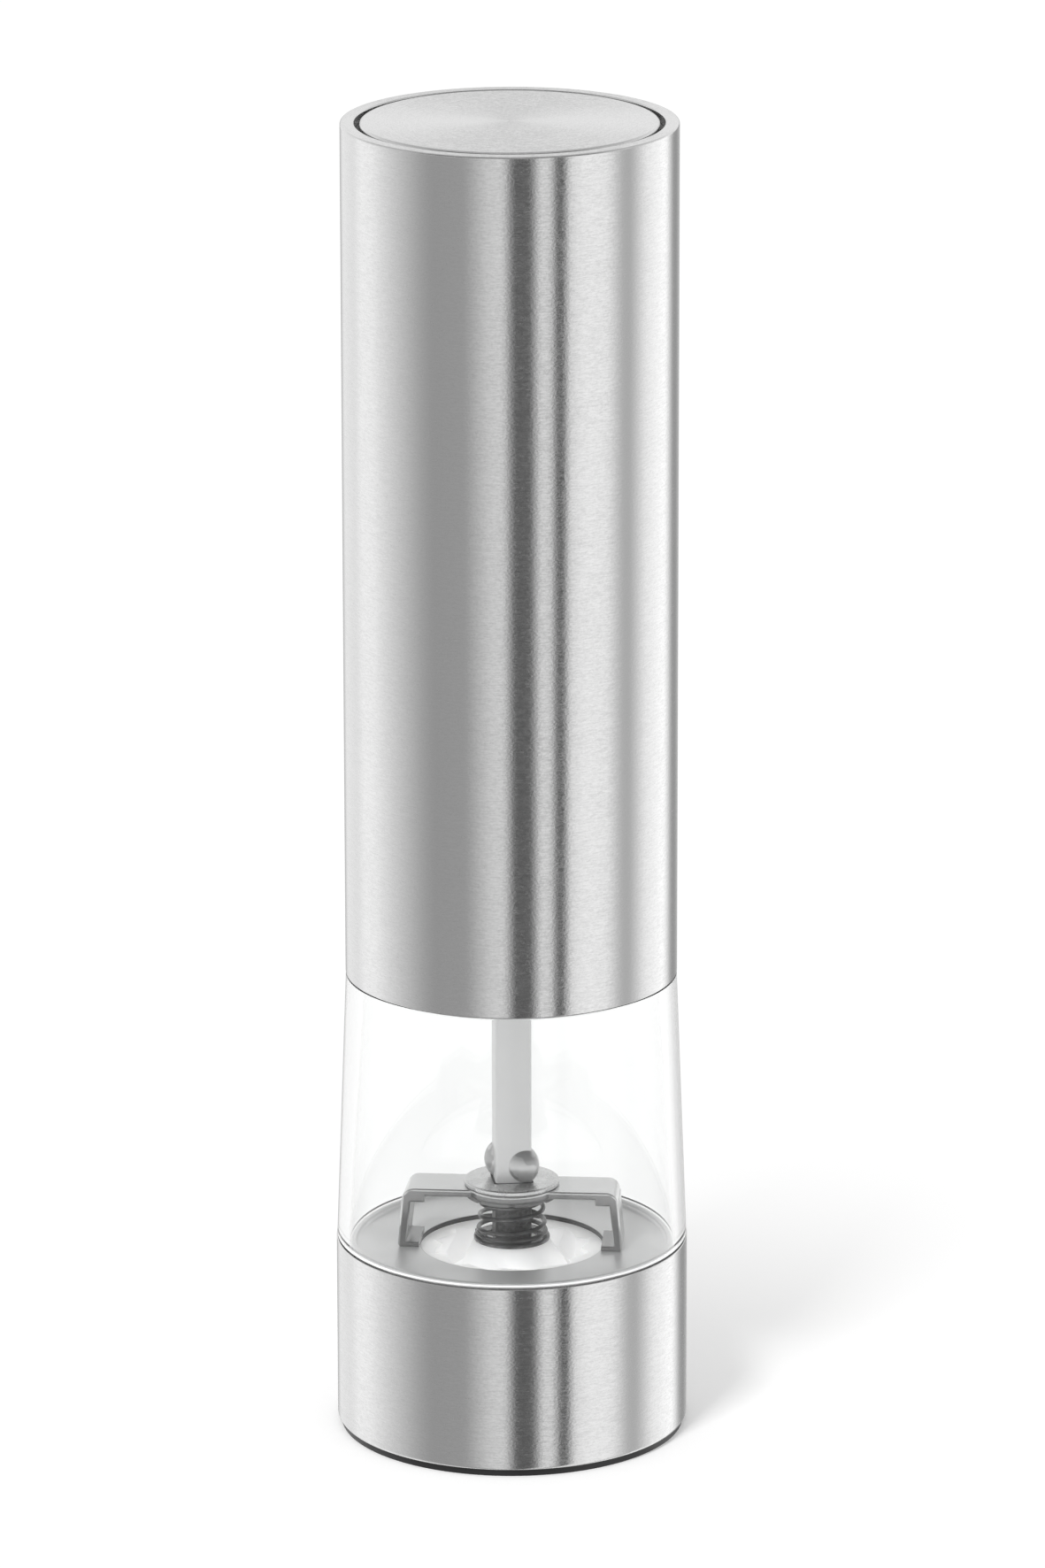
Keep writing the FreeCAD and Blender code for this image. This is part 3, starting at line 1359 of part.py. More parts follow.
def magnet_shape():
    """Two curved magnets, one on each side of the armature."""
    outside = value("magnet_radius")
    length = value("magnet_length")
    ring = Part.makeCylinder(outside, length)
    ring = ring.cut(Part.makeCylinder(outside - value("magnet_thickness"), length))
    reach = 2 * outside
    half = math.radians(value("magnet_angle") / 2)
    wedge = []
    for angle in (-half, half):
        wedge.append(FreeCAD.Vector(reach * math.cos(angle), reach * math.sin(angle), 0))
    for side in (1, -1):
        corners = [FreeCAD.Vector()] + [corner * side for corner in wedge]
        ring = ring.cut(prism(corners, length))
    return ring


magnet_low = "motor_bottom + motor_wall + running_gap"
shaped("motor_magnets", magnet_shape(), z=value(magnet_low))

MIDDLE_LOW = f"{magnet_low} + (magnet_length - armature_length) / 2"
armature = turned(
    "armature",
    MIDDLE_LOW,
    rectangle("motor_shaft_radius + press_gap", "armature_radius", "0", "armature_length"),
)
shaped_hole(
    armature,
    "armature_slot",
    [
        ("armature_radius - armature_tip", "-armature_mouth / 2"),
        ("armature_radius + armature_tip", "-armature_mouth / 2"),
        ("armature_radius + armature_tip", "armature_mouth / 2"),
        ("armature_radius - armature_tip", "armature_mouth / 2"),
        ("armature_radius - armature_tip", "armature_mouth * 1.6"),
        ("armature_radius / 3", "armature_mouth"),
        ("armature_radius / 3", "-armature_mouth"),
        ("armature_radius - armature_tip", "-armature_mouth * 1.6"),
    ],
    "0",
    "armature_length",
    "armature_slots",
)
turned(
    "commutator",
    f"{MIDDLE_LOW} + armature_length + commutator_gap",
    rectangle("motor_shaft_radius + press_gap", "commutator_radius", "0", "commutator_length"),
)
PINION_BOTTOM = "planet_one_bottom + running_gap"
turned(
    "motor_shaft",
    PINION_BOTTOM,
    rectangle("0", "motor_shaft_radius", "0", f"motor_top + motor_cap / 4 - ({PINION_BOTTOM})"),
)


def pinion_shape():
    """The first sun gear, on the motor's shaft."""
    width = value("planet_width + running_gap")
    bore = Part.makeCylinder(value("motor_shaft_radius + press_gap"), width)
    return gear(SUN_TEETH, width).cut(bore)


shaped("motor_pinion", pinion_shape(), z=value(PINION_BOTTOM), turn=SUN_PHASE)

# Motor housing and battery holder

turned(
    "motor_housing",
    "flange_top",
    rectangle("unit_radius - unit_wall", "unit_radius", "0", "holder_bottom - flange_top"),
)

BAY_RADIUS = "cell_radius + cell_gap"
holder = turned(
    "battery_holder",
    "holder_bottom",
    rectangle("0", "unit_radius", "0", "cover_bottom - holder_bottom"),
)
BAY_DEPTH = "cover_bottom - bay_bottom"
round_hole(
    holder, "bay", "cell_circle", "0", BAY_RADIUS, "holder_floor", BAY_DEPTH, 4, "45"
)
shaped_hole(
    holder,
    "bay_mouth",
    rectangle(
        "cell_circle", "unit_radius + unit_wall", "bay_lip - cell_radius", "cell_radius - bay_lip"
    ),
    "holder_floor",
    BAY_DEPTH,
    4,
    "45",
)


def link_outline(grow, turn):
    """The plate that joins two neighbouring cells, along X in front or turned to another side."""
    reach = f"(cell_place + contact_half_width + {grow})"
    near = f"-(cell_place - contact_half_width - {grow})"
    far = f"-(cell_place + contact_half_width + {grow})"
    corners = [(f"-{reach}", far), (reach, far), (reach, near), (f"-{reach}", near)]
    if turn == "front":
        return corners
    if turn == "back":
        return [(f"-({x})", f"-({y})") for x, y in corners]
    return [(y, f"-({x})") for x, y in corners]


for side in ("front", "back"):
    shaped_hole(
        holder,
        f"{side}_link_slot",
        link_outline("cell_gap", side),
        "holder_floor",
        "contact_thickness + press_gap",
    )
ROOF_LOCAL = "cell_roof - press_gap - holder_bottom"
ROOF_CUT = "contact_thickness + press_gap"
shaped_hole(holder, "left_link_slot", link_outline("cell_gap", "left"), ROOF_LOCAL, ROOF_CUT)
LEAD_NEAR = "cell_place + contact_half_width + press_gap"
LEAD_FAR = "lead_reach + lead_thickness"
for side in (-1, 1):
    low = f"{side} * lead_offset - lead_width / 2"
    high = f"{side} * lead_offset + lead_width / 2"
    name = "front" if side < 0 else "back"
    shaped_hole(
        holder,
        f"{name}_lead_slot",
        rectangle(
            "lead_reach - press_gap",
            f"{LEAD_FAR} + press_gap",
            f"{low} - press_gap",
            f"{high} + press_gap",
        ),
        "0",
        "cover_bottom - holder_bottom",
    )
    shaped_hole(
        holder,
        f"{name}_lead_top",
        rectangle(LEAD_NEAR, "lead_reach", f"{low} - press_gap", f"{high} + press_gap"),
        ROOF_LOCAL,
        ROOF_CUT,
    )
COVER_SPOTS = [("0", "cover_screw_circle"), ("0", "-cover_screw_circle")]
COVER_PILOT = "screw_length - cover_thickness + press_gap"
for number, (x, y) in enumerate(COVER_SPOTS, 1):
    low = f"cover_bottom - holder_bottom - ({COVER_PILOT})"
    round_hole(holder, f"cover_pilot_{number}", x, y, "pilot_radius", low, COVER_PILOT)

slabs(
    "lower_contacts",
    "bay_bottom",
    "contact_thickness",
    [link_outline("0", "front"), link_outline("0", "back")],
)
TERMINALS = []
for side in (-1, 1):
    middle = f"{side} * cell_place"
    TERMINALS.append(
        rectangle(
            "cell_place - contact_half_width",
            "cell_place + contact_half_width",
            f"{middle} - contact_half_width",
            f"{middle} + contact_half_width",
        )
    )
slabs(
    "upper_contacts",
    "cell_roof",
    "contact_thickness",
    [link_outline("0", "left")] + TERMINALS,
)

leads = document.addObject("PartDesign::Body", "motor_leads")
LEAD_LOW = "motor_top + motor_cap / 2 + press_gap"
LEAD_HIGH = "cell_roof + contact_thickness"
for side in (-1, 1):
    name = "front_lead" if side < 0 else "back_lead"
    lead = sketch_on(leads, name, "XZ_Plane", f"{side} * lead_offset")
    outline(
        lead,
        [
            ("lead_end", LEAD_LOW),
            (LEAD_FAR, LEAD_LOW),
            (LEAD_FAR, LEAD_HIGH),
            (LEAD_NEAR, LEAD_HIGH),
            (LEAD_NEAR, "cell_roof"),
            ("lead_reach", "cell_roof"),
            ("lead_reach", f"{LEAD_LOW} + lead_thickness"),
            ("lead_end", f"{LEAD_LOW} + lead_thickness"),
        ],
    )
    pad(leads, lead, "lead_width", midplane=True)
place(leads)
node(leads, "motor_leads")


def cell(number, angle, nub_up):
    """An AA cell in its bay, nub up or nub down."""
    can = "cell_length - cell_nub"
    corners = [
        ("0", "0"),
        ("cell_radius - cell_edge", "0", "cell_radius - cell_edge"),
        ("cell_radius", "cell_edge"),
        ("cell_radius", f"{can} - cell_edge", "cell_radius - cell_edge"),
        ("cell_radius - cell_edge", can),
        ("cell_nub_radius", can),
        ("cell_nub_radius", "cell_length"),
        ("0", "cell_length"),
    ]
    low = "cell_floor + contact_spring_room"
    if not nub_up:
        corners = [(c[0], f"cell_length - ({c[1]})", *c[2:]) for c in corners]
        low = "cell_floor"
    body = turned(f"battery_cell_{number}", low, corners)
    bind(body, "Placement.Base.x", f"cell_circle * cos({angle})")
    bind(body, "Placement.Base.y", f"cell_circle * sin({angle})")


CELL_ANGLES = (-45, -135, 135, 45)
for number, angle in enumerate(CELL_ANGLES, 1):
    cell(number, angle, number % 2 == 1)


def contact_springs(label, numbers, seat, head_up):
    """A cone-shaped spring between a plate and the flat end of each cell listed."""
    coil = spring(
        label,
        value("contact_spring_wire"),
        value("contact_spring_foot"),
        value("contact_spring_head"),
        value("contact_spring_room"),
        value("contact_spring_turns"),
        0.0,
    )
    if not head_up:
        coil.rotate(FreeCAD.Vector(), FreeCAD.Vector(1, 0, 0), 180)
    coils = []
    for number in numbers:
        angle = math.radians(CELL_ANGLES[number - 1])
        copy = coil.copy()
        reach = value("cell_circle")
        copy.translate(FreeCAD.Vector(reach * math.cos(angle), reach * math.sin(angle), 0))
        coils.append(copy)
    shaped(label, Part.makeCompound(coils), z=value(seat))


contact_springs("lower_contact_springs", (1, 3), "cell_floor", True)
contact_springs("upper_contact_springs", (2, 4), "cell_roof", False)

cover = turned(
    "contact_cover",
    "cover_bottom",
    rectangle("0", "unit_radius", "0", "cover_thickness"),
)
countersinks(cover, "cover_hole", COVER_SPOTS, "cover_thickness", "cover_thickness", False)
screws("cover_screws", COVER_SPOTS, "cover_top", False)

# Switch on the contact cover

RISER_HALF = "leaf_width / 2"
slabs(
    "switch_riser",
    "cover_top",
    "leaf_bottom - cover_top - press_gap",
    [rectangle("-leaf_arm - riser_length", "-leaf_arm", f"-({RISER_HALF})", RISER_HALF)],
)
slabs(
    "switch_leaf",
    "leaf_bottom",
    "leaf_thickness",
    [rectangle("-leaf_arm - riser_length", "leaf_tip", f"-({RISER_HALF})", RISER_HALF)],
)
contact_button = turned(
    "switch_contact",
    "cover_top",
    rectangle("0", "switch_contact_radius", "0", "switch_contact_height"),
)
bind(contact_button, "Placement.Base.x", "leaf_tip - switch_contact_radius")

# Upper sleeve, button guide and button

TUBE_HEIGHT = "tube_top - tube_bottom"
turned(
    "upper_sleeve",
    "tube_bottom",
    [
        ("tube_radius - tube_wall", "0"),
        ("tube_radius", "0"),
        ("tube_radius", TUBE_HEIGHT),
        ("tube_radius - rim_width", TUBE_HEIGHT),
        ("tube_radius - rim_width", f"{TUBE_HEIGHT} - rim_thickness"),
        ("tube_radius - tube_wall", f"{TUBE_HEIGHT} - rim_thickness"),
    ],
)
GUIDE_RADIUS = "tube_radius - tube_wall - press_gap"
GUIDE_BORE = "button_radius + running_gap"
GUIDE_HEIGHT = "tube_top - rim_thickness - shelf_bottom"
turned(
    "button_guide",
    "shelf_bottom",
    [
        ("stem_radius + running_gap", "0"),
        (GUIDE_RADIUS, "0"),
        (GUIDE_RADIUS, GUIDE_HEIGHT),
        (GUIDE_BORE, GUIDE_HEIGHT),
        (GUIDE_BORE, "guide_shelf"),
        ("stem_radius + running_gap", "guide_shelf"),
    ],
)
SKIRT_BORE = "button_radius - button_skirt_wall"
turned(
    "button_cap",
    "button_top - button_skirt",
    [
        (SKIRT_BORE, "0"),
        ("button_radius", "0"),
        ("button_radius", "button_skirt - button_edge", "button_radius - button_edge"),
        ("button_radius - button_edge", "button_skirt", "0"),
        ("0", "button_skirt + button_crown"),
        ("0", "button_skirt - button_sheet"),
        (SKIRT_BORE, "button_skirt - button_sheet"),
    ],
)
STEM_LOCAL = "plunger_bottom - nib_bottom"
FLANGE_HIGH = "nib_height + stem_flange"
turned(
    "button_plunger",
    "nib_bottom",
    [
        ("0", "0"),
        ("nib_radius", "0"),
        ("nib_radius", "nib_height"),
        ("stem_flange_radius", "nib_height"),
        ("stem_flange_radius", FLANGE_HIGH),
        ("stem_radius", FLANGE_HIGH),
        ("stem_radius", STEM_LOCAL),
        (f"{SKIRT_BORE} - press_gap", STEM_LOCAL),
        (f"{SKIRT_BORE} - press_gap", f"{STEM_LOCAL} + plunger_thickness"),
        ("0", f"{STEM_LOCAL} + plunger_thickness"),
    ],
)
button_spring = spring(
    "button_spring",
    value("button_spring_wire"),
    value("button_spring_radius"),
    value("button_spring_radius"),
    value("button_spring_room"),
    value("button_spring_turns"),
    0.0,
)
shaped("button_spring", button_spring, z=value("shelf_top"))

# Checks and files

document.recompute()
for thing in document.Objects:
    if "Invalid" in thing.State or "Error" in thing.State:
        raise RuntimeError(f"{thing.Label} did not recompute: {thing.State}")
for thing in NODES:
    if thing.Shape.isNull() or not thing.Shape.isValid() or not thing.Shape.Solids:
        raise RuntimeError(f"{thing.Label} has no valid solid")
for thing in NODES:
    thing.Shape.exportStep(f"parts/{thing.Label}.step")
print(f"{len(NODES)} pieces written")
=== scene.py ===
"""Battery pepper mill: a brushed steel sleeve and button over a clear chamber and a steel base.

Lengths here are millimetres, and every mesh is written in metres. The axis of the mill is Z and
its front faces -Y. Sizes that the CAD nodes have are read from them.
"""

import json
import math

import bmesh
import bpy
import numpy as np
from mathutils import Matrix, Vector

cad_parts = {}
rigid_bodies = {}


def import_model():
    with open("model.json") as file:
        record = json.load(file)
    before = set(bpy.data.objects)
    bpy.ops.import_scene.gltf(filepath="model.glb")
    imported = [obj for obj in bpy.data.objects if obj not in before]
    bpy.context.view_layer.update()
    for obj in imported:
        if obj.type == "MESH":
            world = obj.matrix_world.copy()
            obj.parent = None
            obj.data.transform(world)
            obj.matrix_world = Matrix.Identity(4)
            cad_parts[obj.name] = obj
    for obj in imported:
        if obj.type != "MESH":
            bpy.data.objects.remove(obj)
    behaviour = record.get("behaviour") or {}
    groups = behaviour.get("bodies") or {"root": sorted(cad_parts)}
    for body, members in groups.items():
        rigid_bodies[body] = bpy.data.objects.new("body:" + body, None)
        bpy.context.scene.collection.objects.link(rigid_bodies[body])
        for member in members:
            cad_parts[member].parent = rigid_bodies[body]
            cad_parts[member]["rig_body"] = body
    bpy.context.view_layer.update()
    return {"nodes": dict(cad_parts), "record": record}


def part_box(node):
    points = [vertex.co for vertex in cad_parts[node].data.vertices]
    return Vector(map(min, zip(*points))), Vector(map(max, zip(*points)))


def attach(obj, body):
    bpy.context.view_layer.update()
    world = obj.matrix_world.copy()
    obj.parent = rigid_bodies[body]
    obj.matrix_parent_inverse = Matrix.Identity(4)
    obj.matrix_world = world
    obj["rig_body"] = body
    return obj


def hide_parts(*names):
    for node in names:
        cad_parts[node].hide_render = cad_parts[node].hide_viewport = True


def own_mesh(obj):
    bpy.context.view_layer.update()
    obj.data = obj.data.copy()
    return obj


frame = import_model()
MM = 0.001
SCENE = bpy.context.scene


def bottom(node):
    """Lowest point of a CAD node."""
    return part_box(node)[0].z / MM


def top(node):
    """Highest point of a CAD node."""
    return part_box(node)[1].z / MM


def reach(node):
    """Outside radius of a round CAD node."""
    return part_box(node)[1].x / MM


# Outlines and surfaces

FINE_STEPS = 192  # round a turned piece
WIRE_STEPS = 16  # round a wire
COIL_STEPS = 48  # along each turn of a spring
SUPPORT = 0.04  # from a rounded edge to the ring that keeps its flat side flat
SHARP = 34  # degrees between two faces, over which their edge is sharp
POINT = 1e-3  # a ring narrower than this is a pole


def rounded(corners, closed=True, step=12):
    """An outline whose corners (x, y, radius) are rounded.

    Each arc is centre + radius * unit, where unit turns evenly from one side's normal to the
    other's. A point just beside each end of the arc keeps the flat sides flat in the shading.
    """
    full = np.array([(*corner, 0.0)[:3] for corner in corners], float)
    nearest = 0.3  # of a short side's length
    points = []
    for number, (x, y, radius) in enumerate(full):
        here = np.array([x, y])
        at_end = not closed and number in (0, len(full) - 1)
        if radius == 0 or at_end:
            points.append(here[None])
            continue
        back = full[number - 1][:2] - here
        ahead = full[(number + 1) % len(full)][:2] - here
        back_length, ahead_length = np.hypot(*back), np.hypot(*ahead)
        back, ahead = back / back_length, ahead / ahead_length
        half = math.acos(np.clip(back @ ahead, -1, 1)) / 2
        tangent = radius / math.tan(half)
        middle = (back + ahead) / np.hypot(*(back + ahead))
        centre = here + middle * radius / math.sin(half)
        first = (here + back * tangent - centre) / radius
        last = (here + ahead * tangent - centre) / radius
        turn = math.pi - 2 * half
        count = max(2, math.ceil(math.degrees(turn) / step))
        share = np.linspace(0, 1, count + 1)[:, None]
        unit = (np.sin((1 - share) * turn) * first + np.sin(share * turn) * last) / math.sin(turn)
        before = here + back * (tangent + min(SUPPORT, (back_length - tangent) * nearest))
        after = here + ahead * (tangent + min(SUPPORT, (ahead_length - tangent) * nearest))
        points += [before[None], centre + radius * unit, after[None]]
    return np.concatenate(points)


def full_turn(count=FINE_STEPS):
    """Even angles round the axis."""
    return np.arange(count) * (2 * np.pi / count)


def surface(name, points, closed=True):
    """A mesh on a grid of points in millimetres, whose rows are rings.

    Where closed, the last ring joins the first; otherwise the end rings are filled, or are poles.
    """
    rows, columns = points.shape[:2]
    row = np.arange(rows if closed else rows - 1)[:, None]
    column = np.arange(columns)[None, :]
    here, there = row * columns, (row + 1) % rows * columns
    beside = (column + 1) % columns
    quads = np.stack([here + column, here + beside, there + beside, there + column], axis=-1)
    faces = quads.reshape(-1, 4).tolist()
    if not closed:
        for first in (0, (rows - 1) * columns):
            ring = points.reshape(-1, 3)[first : first + columns]
            if np.ptp(ring, axis=0).max() > POINT:
                faces.append(list(range(first, first + columns)))
    mesh = bpy.data.meshes.new(name)
    mesh.from_pydata((points.reshape(-1, 3) * MM).tolist(), [], faces)
    piece = bpy.data.objects.new(name, mesh)
    SCENE.collection.objects.link(piece)
    smooth(piece)
    return piece


def smooth(piece):
    """Merges doubled points, turns the faces outwards and shades smooth between sharp edges."""
    work = bmesh.new()
    work.from_mesh(piece.data)
    bmesh.ops.remove_doubles(work, verts=work.verts, dist=1e-6)
    bmesh.ops.recalc_face_normals(work, faces=work.faces)
    work.to_mesh(piece.data)
    work.free()
    piece.data.shade_smooth()
    piece.data.set_sharp_from_angle(angle=math.radians(SHARP))


def around(radii, heights, angles):
    """Points (r cos a, r sin a, z) for radii and heights of each ring, and angles round it."""
    radii, heights, angles = np.broadcast_arrays(radii, heights, angles)
    return np.stack([radii * np.cos(angles), radii * np.sin(angles), heights], axis=-1)


def turned(name, corners, closed=True, count=FINE_STEPS):
    """A solid turned about the axis from an outline of radii and heights."""
    outline = rounded(corners, closed)
    return surface(name, around(outline[:, :1], outline[:, 1:], full_turn(count)[None]), closed)


def offset_ways(outline):
    """For each point of a closed outline the way outwards, as long as a miter needs it."""
    edge = np.roll(outline, -1, axis=0) - outline
    normal = np.stack([edge[:, 1], -edge[:, 0]], axis=-1)
    normal /= np.maximum(np.linalg.norm(normal, axis=1, keepdims=True), 1e-9)
    both = normal + np.roll(normal, 1, axis=0)
    return both / np.maximum((both * both).sum(axis=1, keepdims=True) / 2, 0.5)


def edge_insets(rounding):
    """How far the rings of a rounded edge lie in from one of its two sides.

    It is rounding * (1 - sin t), with t from 0 to a quarter turn, and read backwards it is how far
    they lie in from the other side. A ring beside each end keeps the sides flat in the shading.
    """
    angle = np.linspace(0, np.pi / 2, 5)
    return np.concatenate([[rounding + SUPPORT], rounding * (1 - np.sin(angle)), [0]])


def block(name, outline, low, high, rounding):
    """A straight block on a closed anticlockwise outline, with rounded rims."""
    inset = edge_insets(rounding)
    rise = inset[::-1]
    insets = np.concatenate([inset, rise])
    heights = np.concatenate([low + rise, high - inset])
    ways = offset_ways(outline)
    flat = outline[None] - ways[None] * insets[:, None, None]
    height = np.broadcast_to(heights[:, None, None], flat.shape[:2] + (1,))
    return surface(name, np.concatenate([flat, height], axis=-1), closed=False)


def tube(name, path, wire):
    """A round wire along a path, with rounded ends.

    Round each point of the path stands a ring, wire / 2 * (across cos b + up sin b), where across
    points from the axis of the mill and both are square to the path. Each end is half an ellipsoid,
    a quarter of the wire deep.
    """
    way = np.gradient(path, axis=0)
    way /= np.linalg.norm(way, axis=1, keepdims=True)
    centre = path.mean(axis=0) * [1, 1, 0]
    across = (path - centre) * [1, 1, 0]
    across -= way * (across * way).sum(axis=1, keepdims=True)
    across /= np.linalg.norm(across, axis=1, keepdims=True)
    up = np.cross(way, across)
    radius = np.full(len(path), wire / 2)
    dome = np.radians([90, 60, 30])
    bulge, swell = wire / 4 * np.sin(dome), wire / 2 * np.cos(dome)
    front = path[0] - way[0] * bulge[:, None]
    back = path[-1] + way[-1] * bulge[::-1, None]
    path = np.concatenate([front, path, back])
    radius = np.concatenate([swell, radius, swell[::-1]])
    ends = (len(dome), len(dome)), (0, 0)
    across, up = np.pad(across, ends, "edge"), np.pad(up, ends, "edge")
    angle = full_turn(WIRE_STEPS)[None, :, None]
    ring = across[:, None] * np.cos(angle) + up[:, None] * np.sin(angle)
    return surface(name, path[:, None] + ring * radius[:, None, None], closed=False)


def coil(foot_radius, head_radius, low, high, turns, crowding, wire, start):
    """The middle line of a spring between two seats.

    Its angle is start + 2 pi turns s, its radius goes evenly from foot to head, and its height is
    the rise times (s - crowding sin(2 pi s) / (2 pi)), so that the end turns lie closer.
    """
    clearance = 0.06
    share = np.linspace(0, 1, turns * COIL_STEPS + 1)
    angle = start + 2 * np.pi * turns * share
    radius = foot_radius + (head_radius - foot_radius) * share
    lift = wire / 2 + clearance
    rise = high - low - 2 * lift
    height = rise * (share - crowding * np.sin(2 * np.pi * share) / (2 * np.pi))
    line = around(radius, low + lift + height, angle)
    tail = line[0] - (line[1] - line[0]) / np.linalg.norm(line[1] - line[0]) * wire
    tip = line[-1] + (line[-1] - line[-2]) / np.linalg.norm(line[-1] - line[-2]) * wire
    return np.concatenate([tail[None], line, tip[None]])


def change_by(piece, operation, tool):
    """Changes a piece by a boolean with another, which is used up."""
    modifier = piece.modifiers.new("shaping", "BOOLEAN")
    modifier.operation = operation
    modifier.solver = "EXACT"
    modifier.object = tool
    bpy.context.view_layer.update()
    evaluated = piece.evaluated_get(bpy.context.evaluated_depsgraph_get())
    mesh = bpy.data.meshes.new_from_object(evaluated)
    piece.modifiers.clear()
    piece.data = mesh
    mesh.name = piece.name
    bpy.data.objects.remove(tool)
    smooth(piece)


# Nodes of materials


class Wire:
    """A value that flows between nodes; arithmetic with it adds Math nodes."""

    def __init__(self, plan, socket):
        self.plan = plan
        self.socket = socket

    def __add__(self, other):
        return self.plan.math("ADD", self, other)

    def __mul__(self, other):
        return self.plan.math("MULTIPLY", self, other)

    def __sub__(self, other):
        return self.plan.math("SUBTRACT", self, other)

    def __rsub__(self, other):
        return self.plan.math("SUBTRACT", other, self)

    def __truediv__(self, other):
        return self.plan.math("DIVIDE", self, other)


class Plan:
    """The nodes of one material or of the world."""

    def __init__(self, owner):
        self.owner = owner
        owner.use_nodes = True
        self.tree = owner.node_tree
        self.tree.nodes.clear()

    def node(self, kind, settings=None, sockets=None, output=0):
        """Adds a node: first its settings, then the values or links of its sockets."""
        made = self.tree.nodes.new("ShaderNode" + kind)
        for name, value in (settings or {}).items():
            if name == "stops":
                self.set_stops(made.color_ramp, value)
            else:
                setattr(made, name, value)
        for name, value in (sockets or {}).items():
            if isinstance(value, Wire):
                self.tree.links.new(value.socket, made.inputs[name])
            else:
                made.inputs[name].default_value = value
        return Wire(self, made.outputs[output]) if made.outputs else None

    @staticmethod
    def set_stops(ramp, stops):
        """Sets the places and shades of a colour ramp."""
        while len(ramp.elements) < len(stops):
            ramp.elements.new(1.0)
        for element, (place, shade) in zip(ramp.elements, stops):
            element.position = place
            element.color = (shade, shade, shade, 1)

    def outputs(self, kind, *names):
        """Some of the outputs of one new node."""
        made = self.tree.nodes.new("ShaderNode" + kind)
        return [Wire(self, made.outputs[name]) for name in names]

    def math(self, operation, *values):
        """One operation of arithmetic."""
        return self.node("Math", {"operation": operation}, dict(enumerate(values)))

    def place(self):
        """Object coordinates."""
        return self.node("TexCoord", output="Object")

    def parts(self, vector):
        """The three parts of a vector."""
        split = self.node("SeparateXYZ", sockets={0: vector})
        return [Wire(self, split.socket.node.outputs[axis]) for axis in range(3)]

    def height(self, vector):
        """The height of a place."""
        return self.parts(vector)[2]

    def from_axis(self, vector):
        """The distance of a place from the axis of the mill, sqrt(x^2 + y^2)."""
        x, y = self.parts(vector)[:2]
        return self.math("SQRT", x * x + y * y)

    def noise(self, vector, scale, detail):
        """Noise from 0 to 1, with scale in lumps per metre."""
        return self.node("TexNoise", sockets={"Vector": vector, "Scale": scale, "Detail": detail})

    def spread(self, value, low, high, to_low=0.0, to_high=1.0):
        """A value between low and high spread smoothly over another range."""
        sockets = {"Value": value, 1: low, 2: high, 3: to_low, 4: to_high}
        return self.node("MapRange", {"interpolation_type": "SMOOTHSTEP"}, sockets)

    def blend(self, share, first, second):
        """A colour between two colours."""
        return self.node("Mix", {"data_type": "RGBA"}, {0: share, 6: first, 7: second}, 2)

    def mottled(self, share, shade):
        """A grey that goes from a little under its shade to a little over it."""
        return self.blend(share, grey(shade * 0.94), grey(shade * 1.06))

    def bump(self, height, strength, distance):
        """The normal of a surface that rises by up to a distance."""
        sockets = {"Height": height, "Strength": strength, "Distance": distance * MM}
        return self.node("Bump", sockets=sockets)


def grey(shade, warmth=0.0):
    """A grey as a colour, a little warmer or colder."""
    return (shade * (1 + warmth), shade, shade * (1 - warmth), 1)


def scaled(colour, factor):
    """A colour made lighter or darker."""
    return (*(min(1.0, part * factor) for part in colour[:3]), 1)


def new_finish(name):
    """The plan of a new material, and the place on the piece that has it."""
    plan = Plan(bpy.data.materials.new(name))
    return plan, plan.place()


def finished(plan, shader):
    """The material of a plan, with its shader joined to the output."""
    plan.node("OutputMaterial", sockets={"Surface": shader})
    return plan.owner


def principled(plan, sockets):
    """The material of a plan with one shader."""
    return finished(plan, plan.node("BsdfPrincipled", sockets=sockets))


# Sizes that a finish and a piece share

SHAFT_TURN = math.radians(6.5)
SHAFT_HALF = 2.85
SHAFT_CHAMFER = 0.3
BRIDGE_TURN = math.radians(-4.7)
BRIDGE_SHOULDER = 16.9
BRIDGE_CORNER = 1.8
FLOOR_HOLE = 14.4
SEAM_GAP = 0.2

# Finishes


def brushed_steel(name, shade, roughness):
    """Steel brushed round the axis.

    Noise is read at (k cos a, k sin a, K z) and K r with a small k and a large K, so it changes
    slowly along a line round the axis and quickly across it, on the tube and on flat rings alike.
    """
    plan, place = new_finish(name)
    x, y, z = plan.parts(place)
    radius = plan.from_axis(place)

    def lines(along, across, detail):
        parts = {0: x / radius * along, 1: y / radius * along, 2: z * across}
        vector = plan.node("CombineXYZ", sockets=parts)
        sockets = {"Vector": vector, "W": radius * across, "Scale": 1.0, "Detail": detail}
        return plan.node("TexNoise", {"noise_dimensions": "4D"}, sockets)

    fine = lines(24.0, 6000.0, 1.0)
    dashes = lines(11.0, 3200.0, 1.0)
    broad = lines(1.5, 300.0, 2.0)
    grain = lines(60.0, 3600.0, 1.0)
    marks = fine * 0.4 + dashes * 0.25 + grain * 0.35
    tone = marks * 0.92 + broad * 0.08
    sockets = {
        "Base Color": plan.mottled(plan.spread(tone, 0.3, 0.7), shade),
        "Metallic": 1.0,
        "Roughness": plan.spread(tone, 0.25, 0.75, roughness + 0.1, roughness - 0.1),
        "Anisotropic": 0.9,
        "Anisotropic Rotation": 0.25,
        "Normal": plan.bump(grain * 0.7 + fine * 0.3, 0.6, 0.02),
    }
    return principled(plan, sockets)


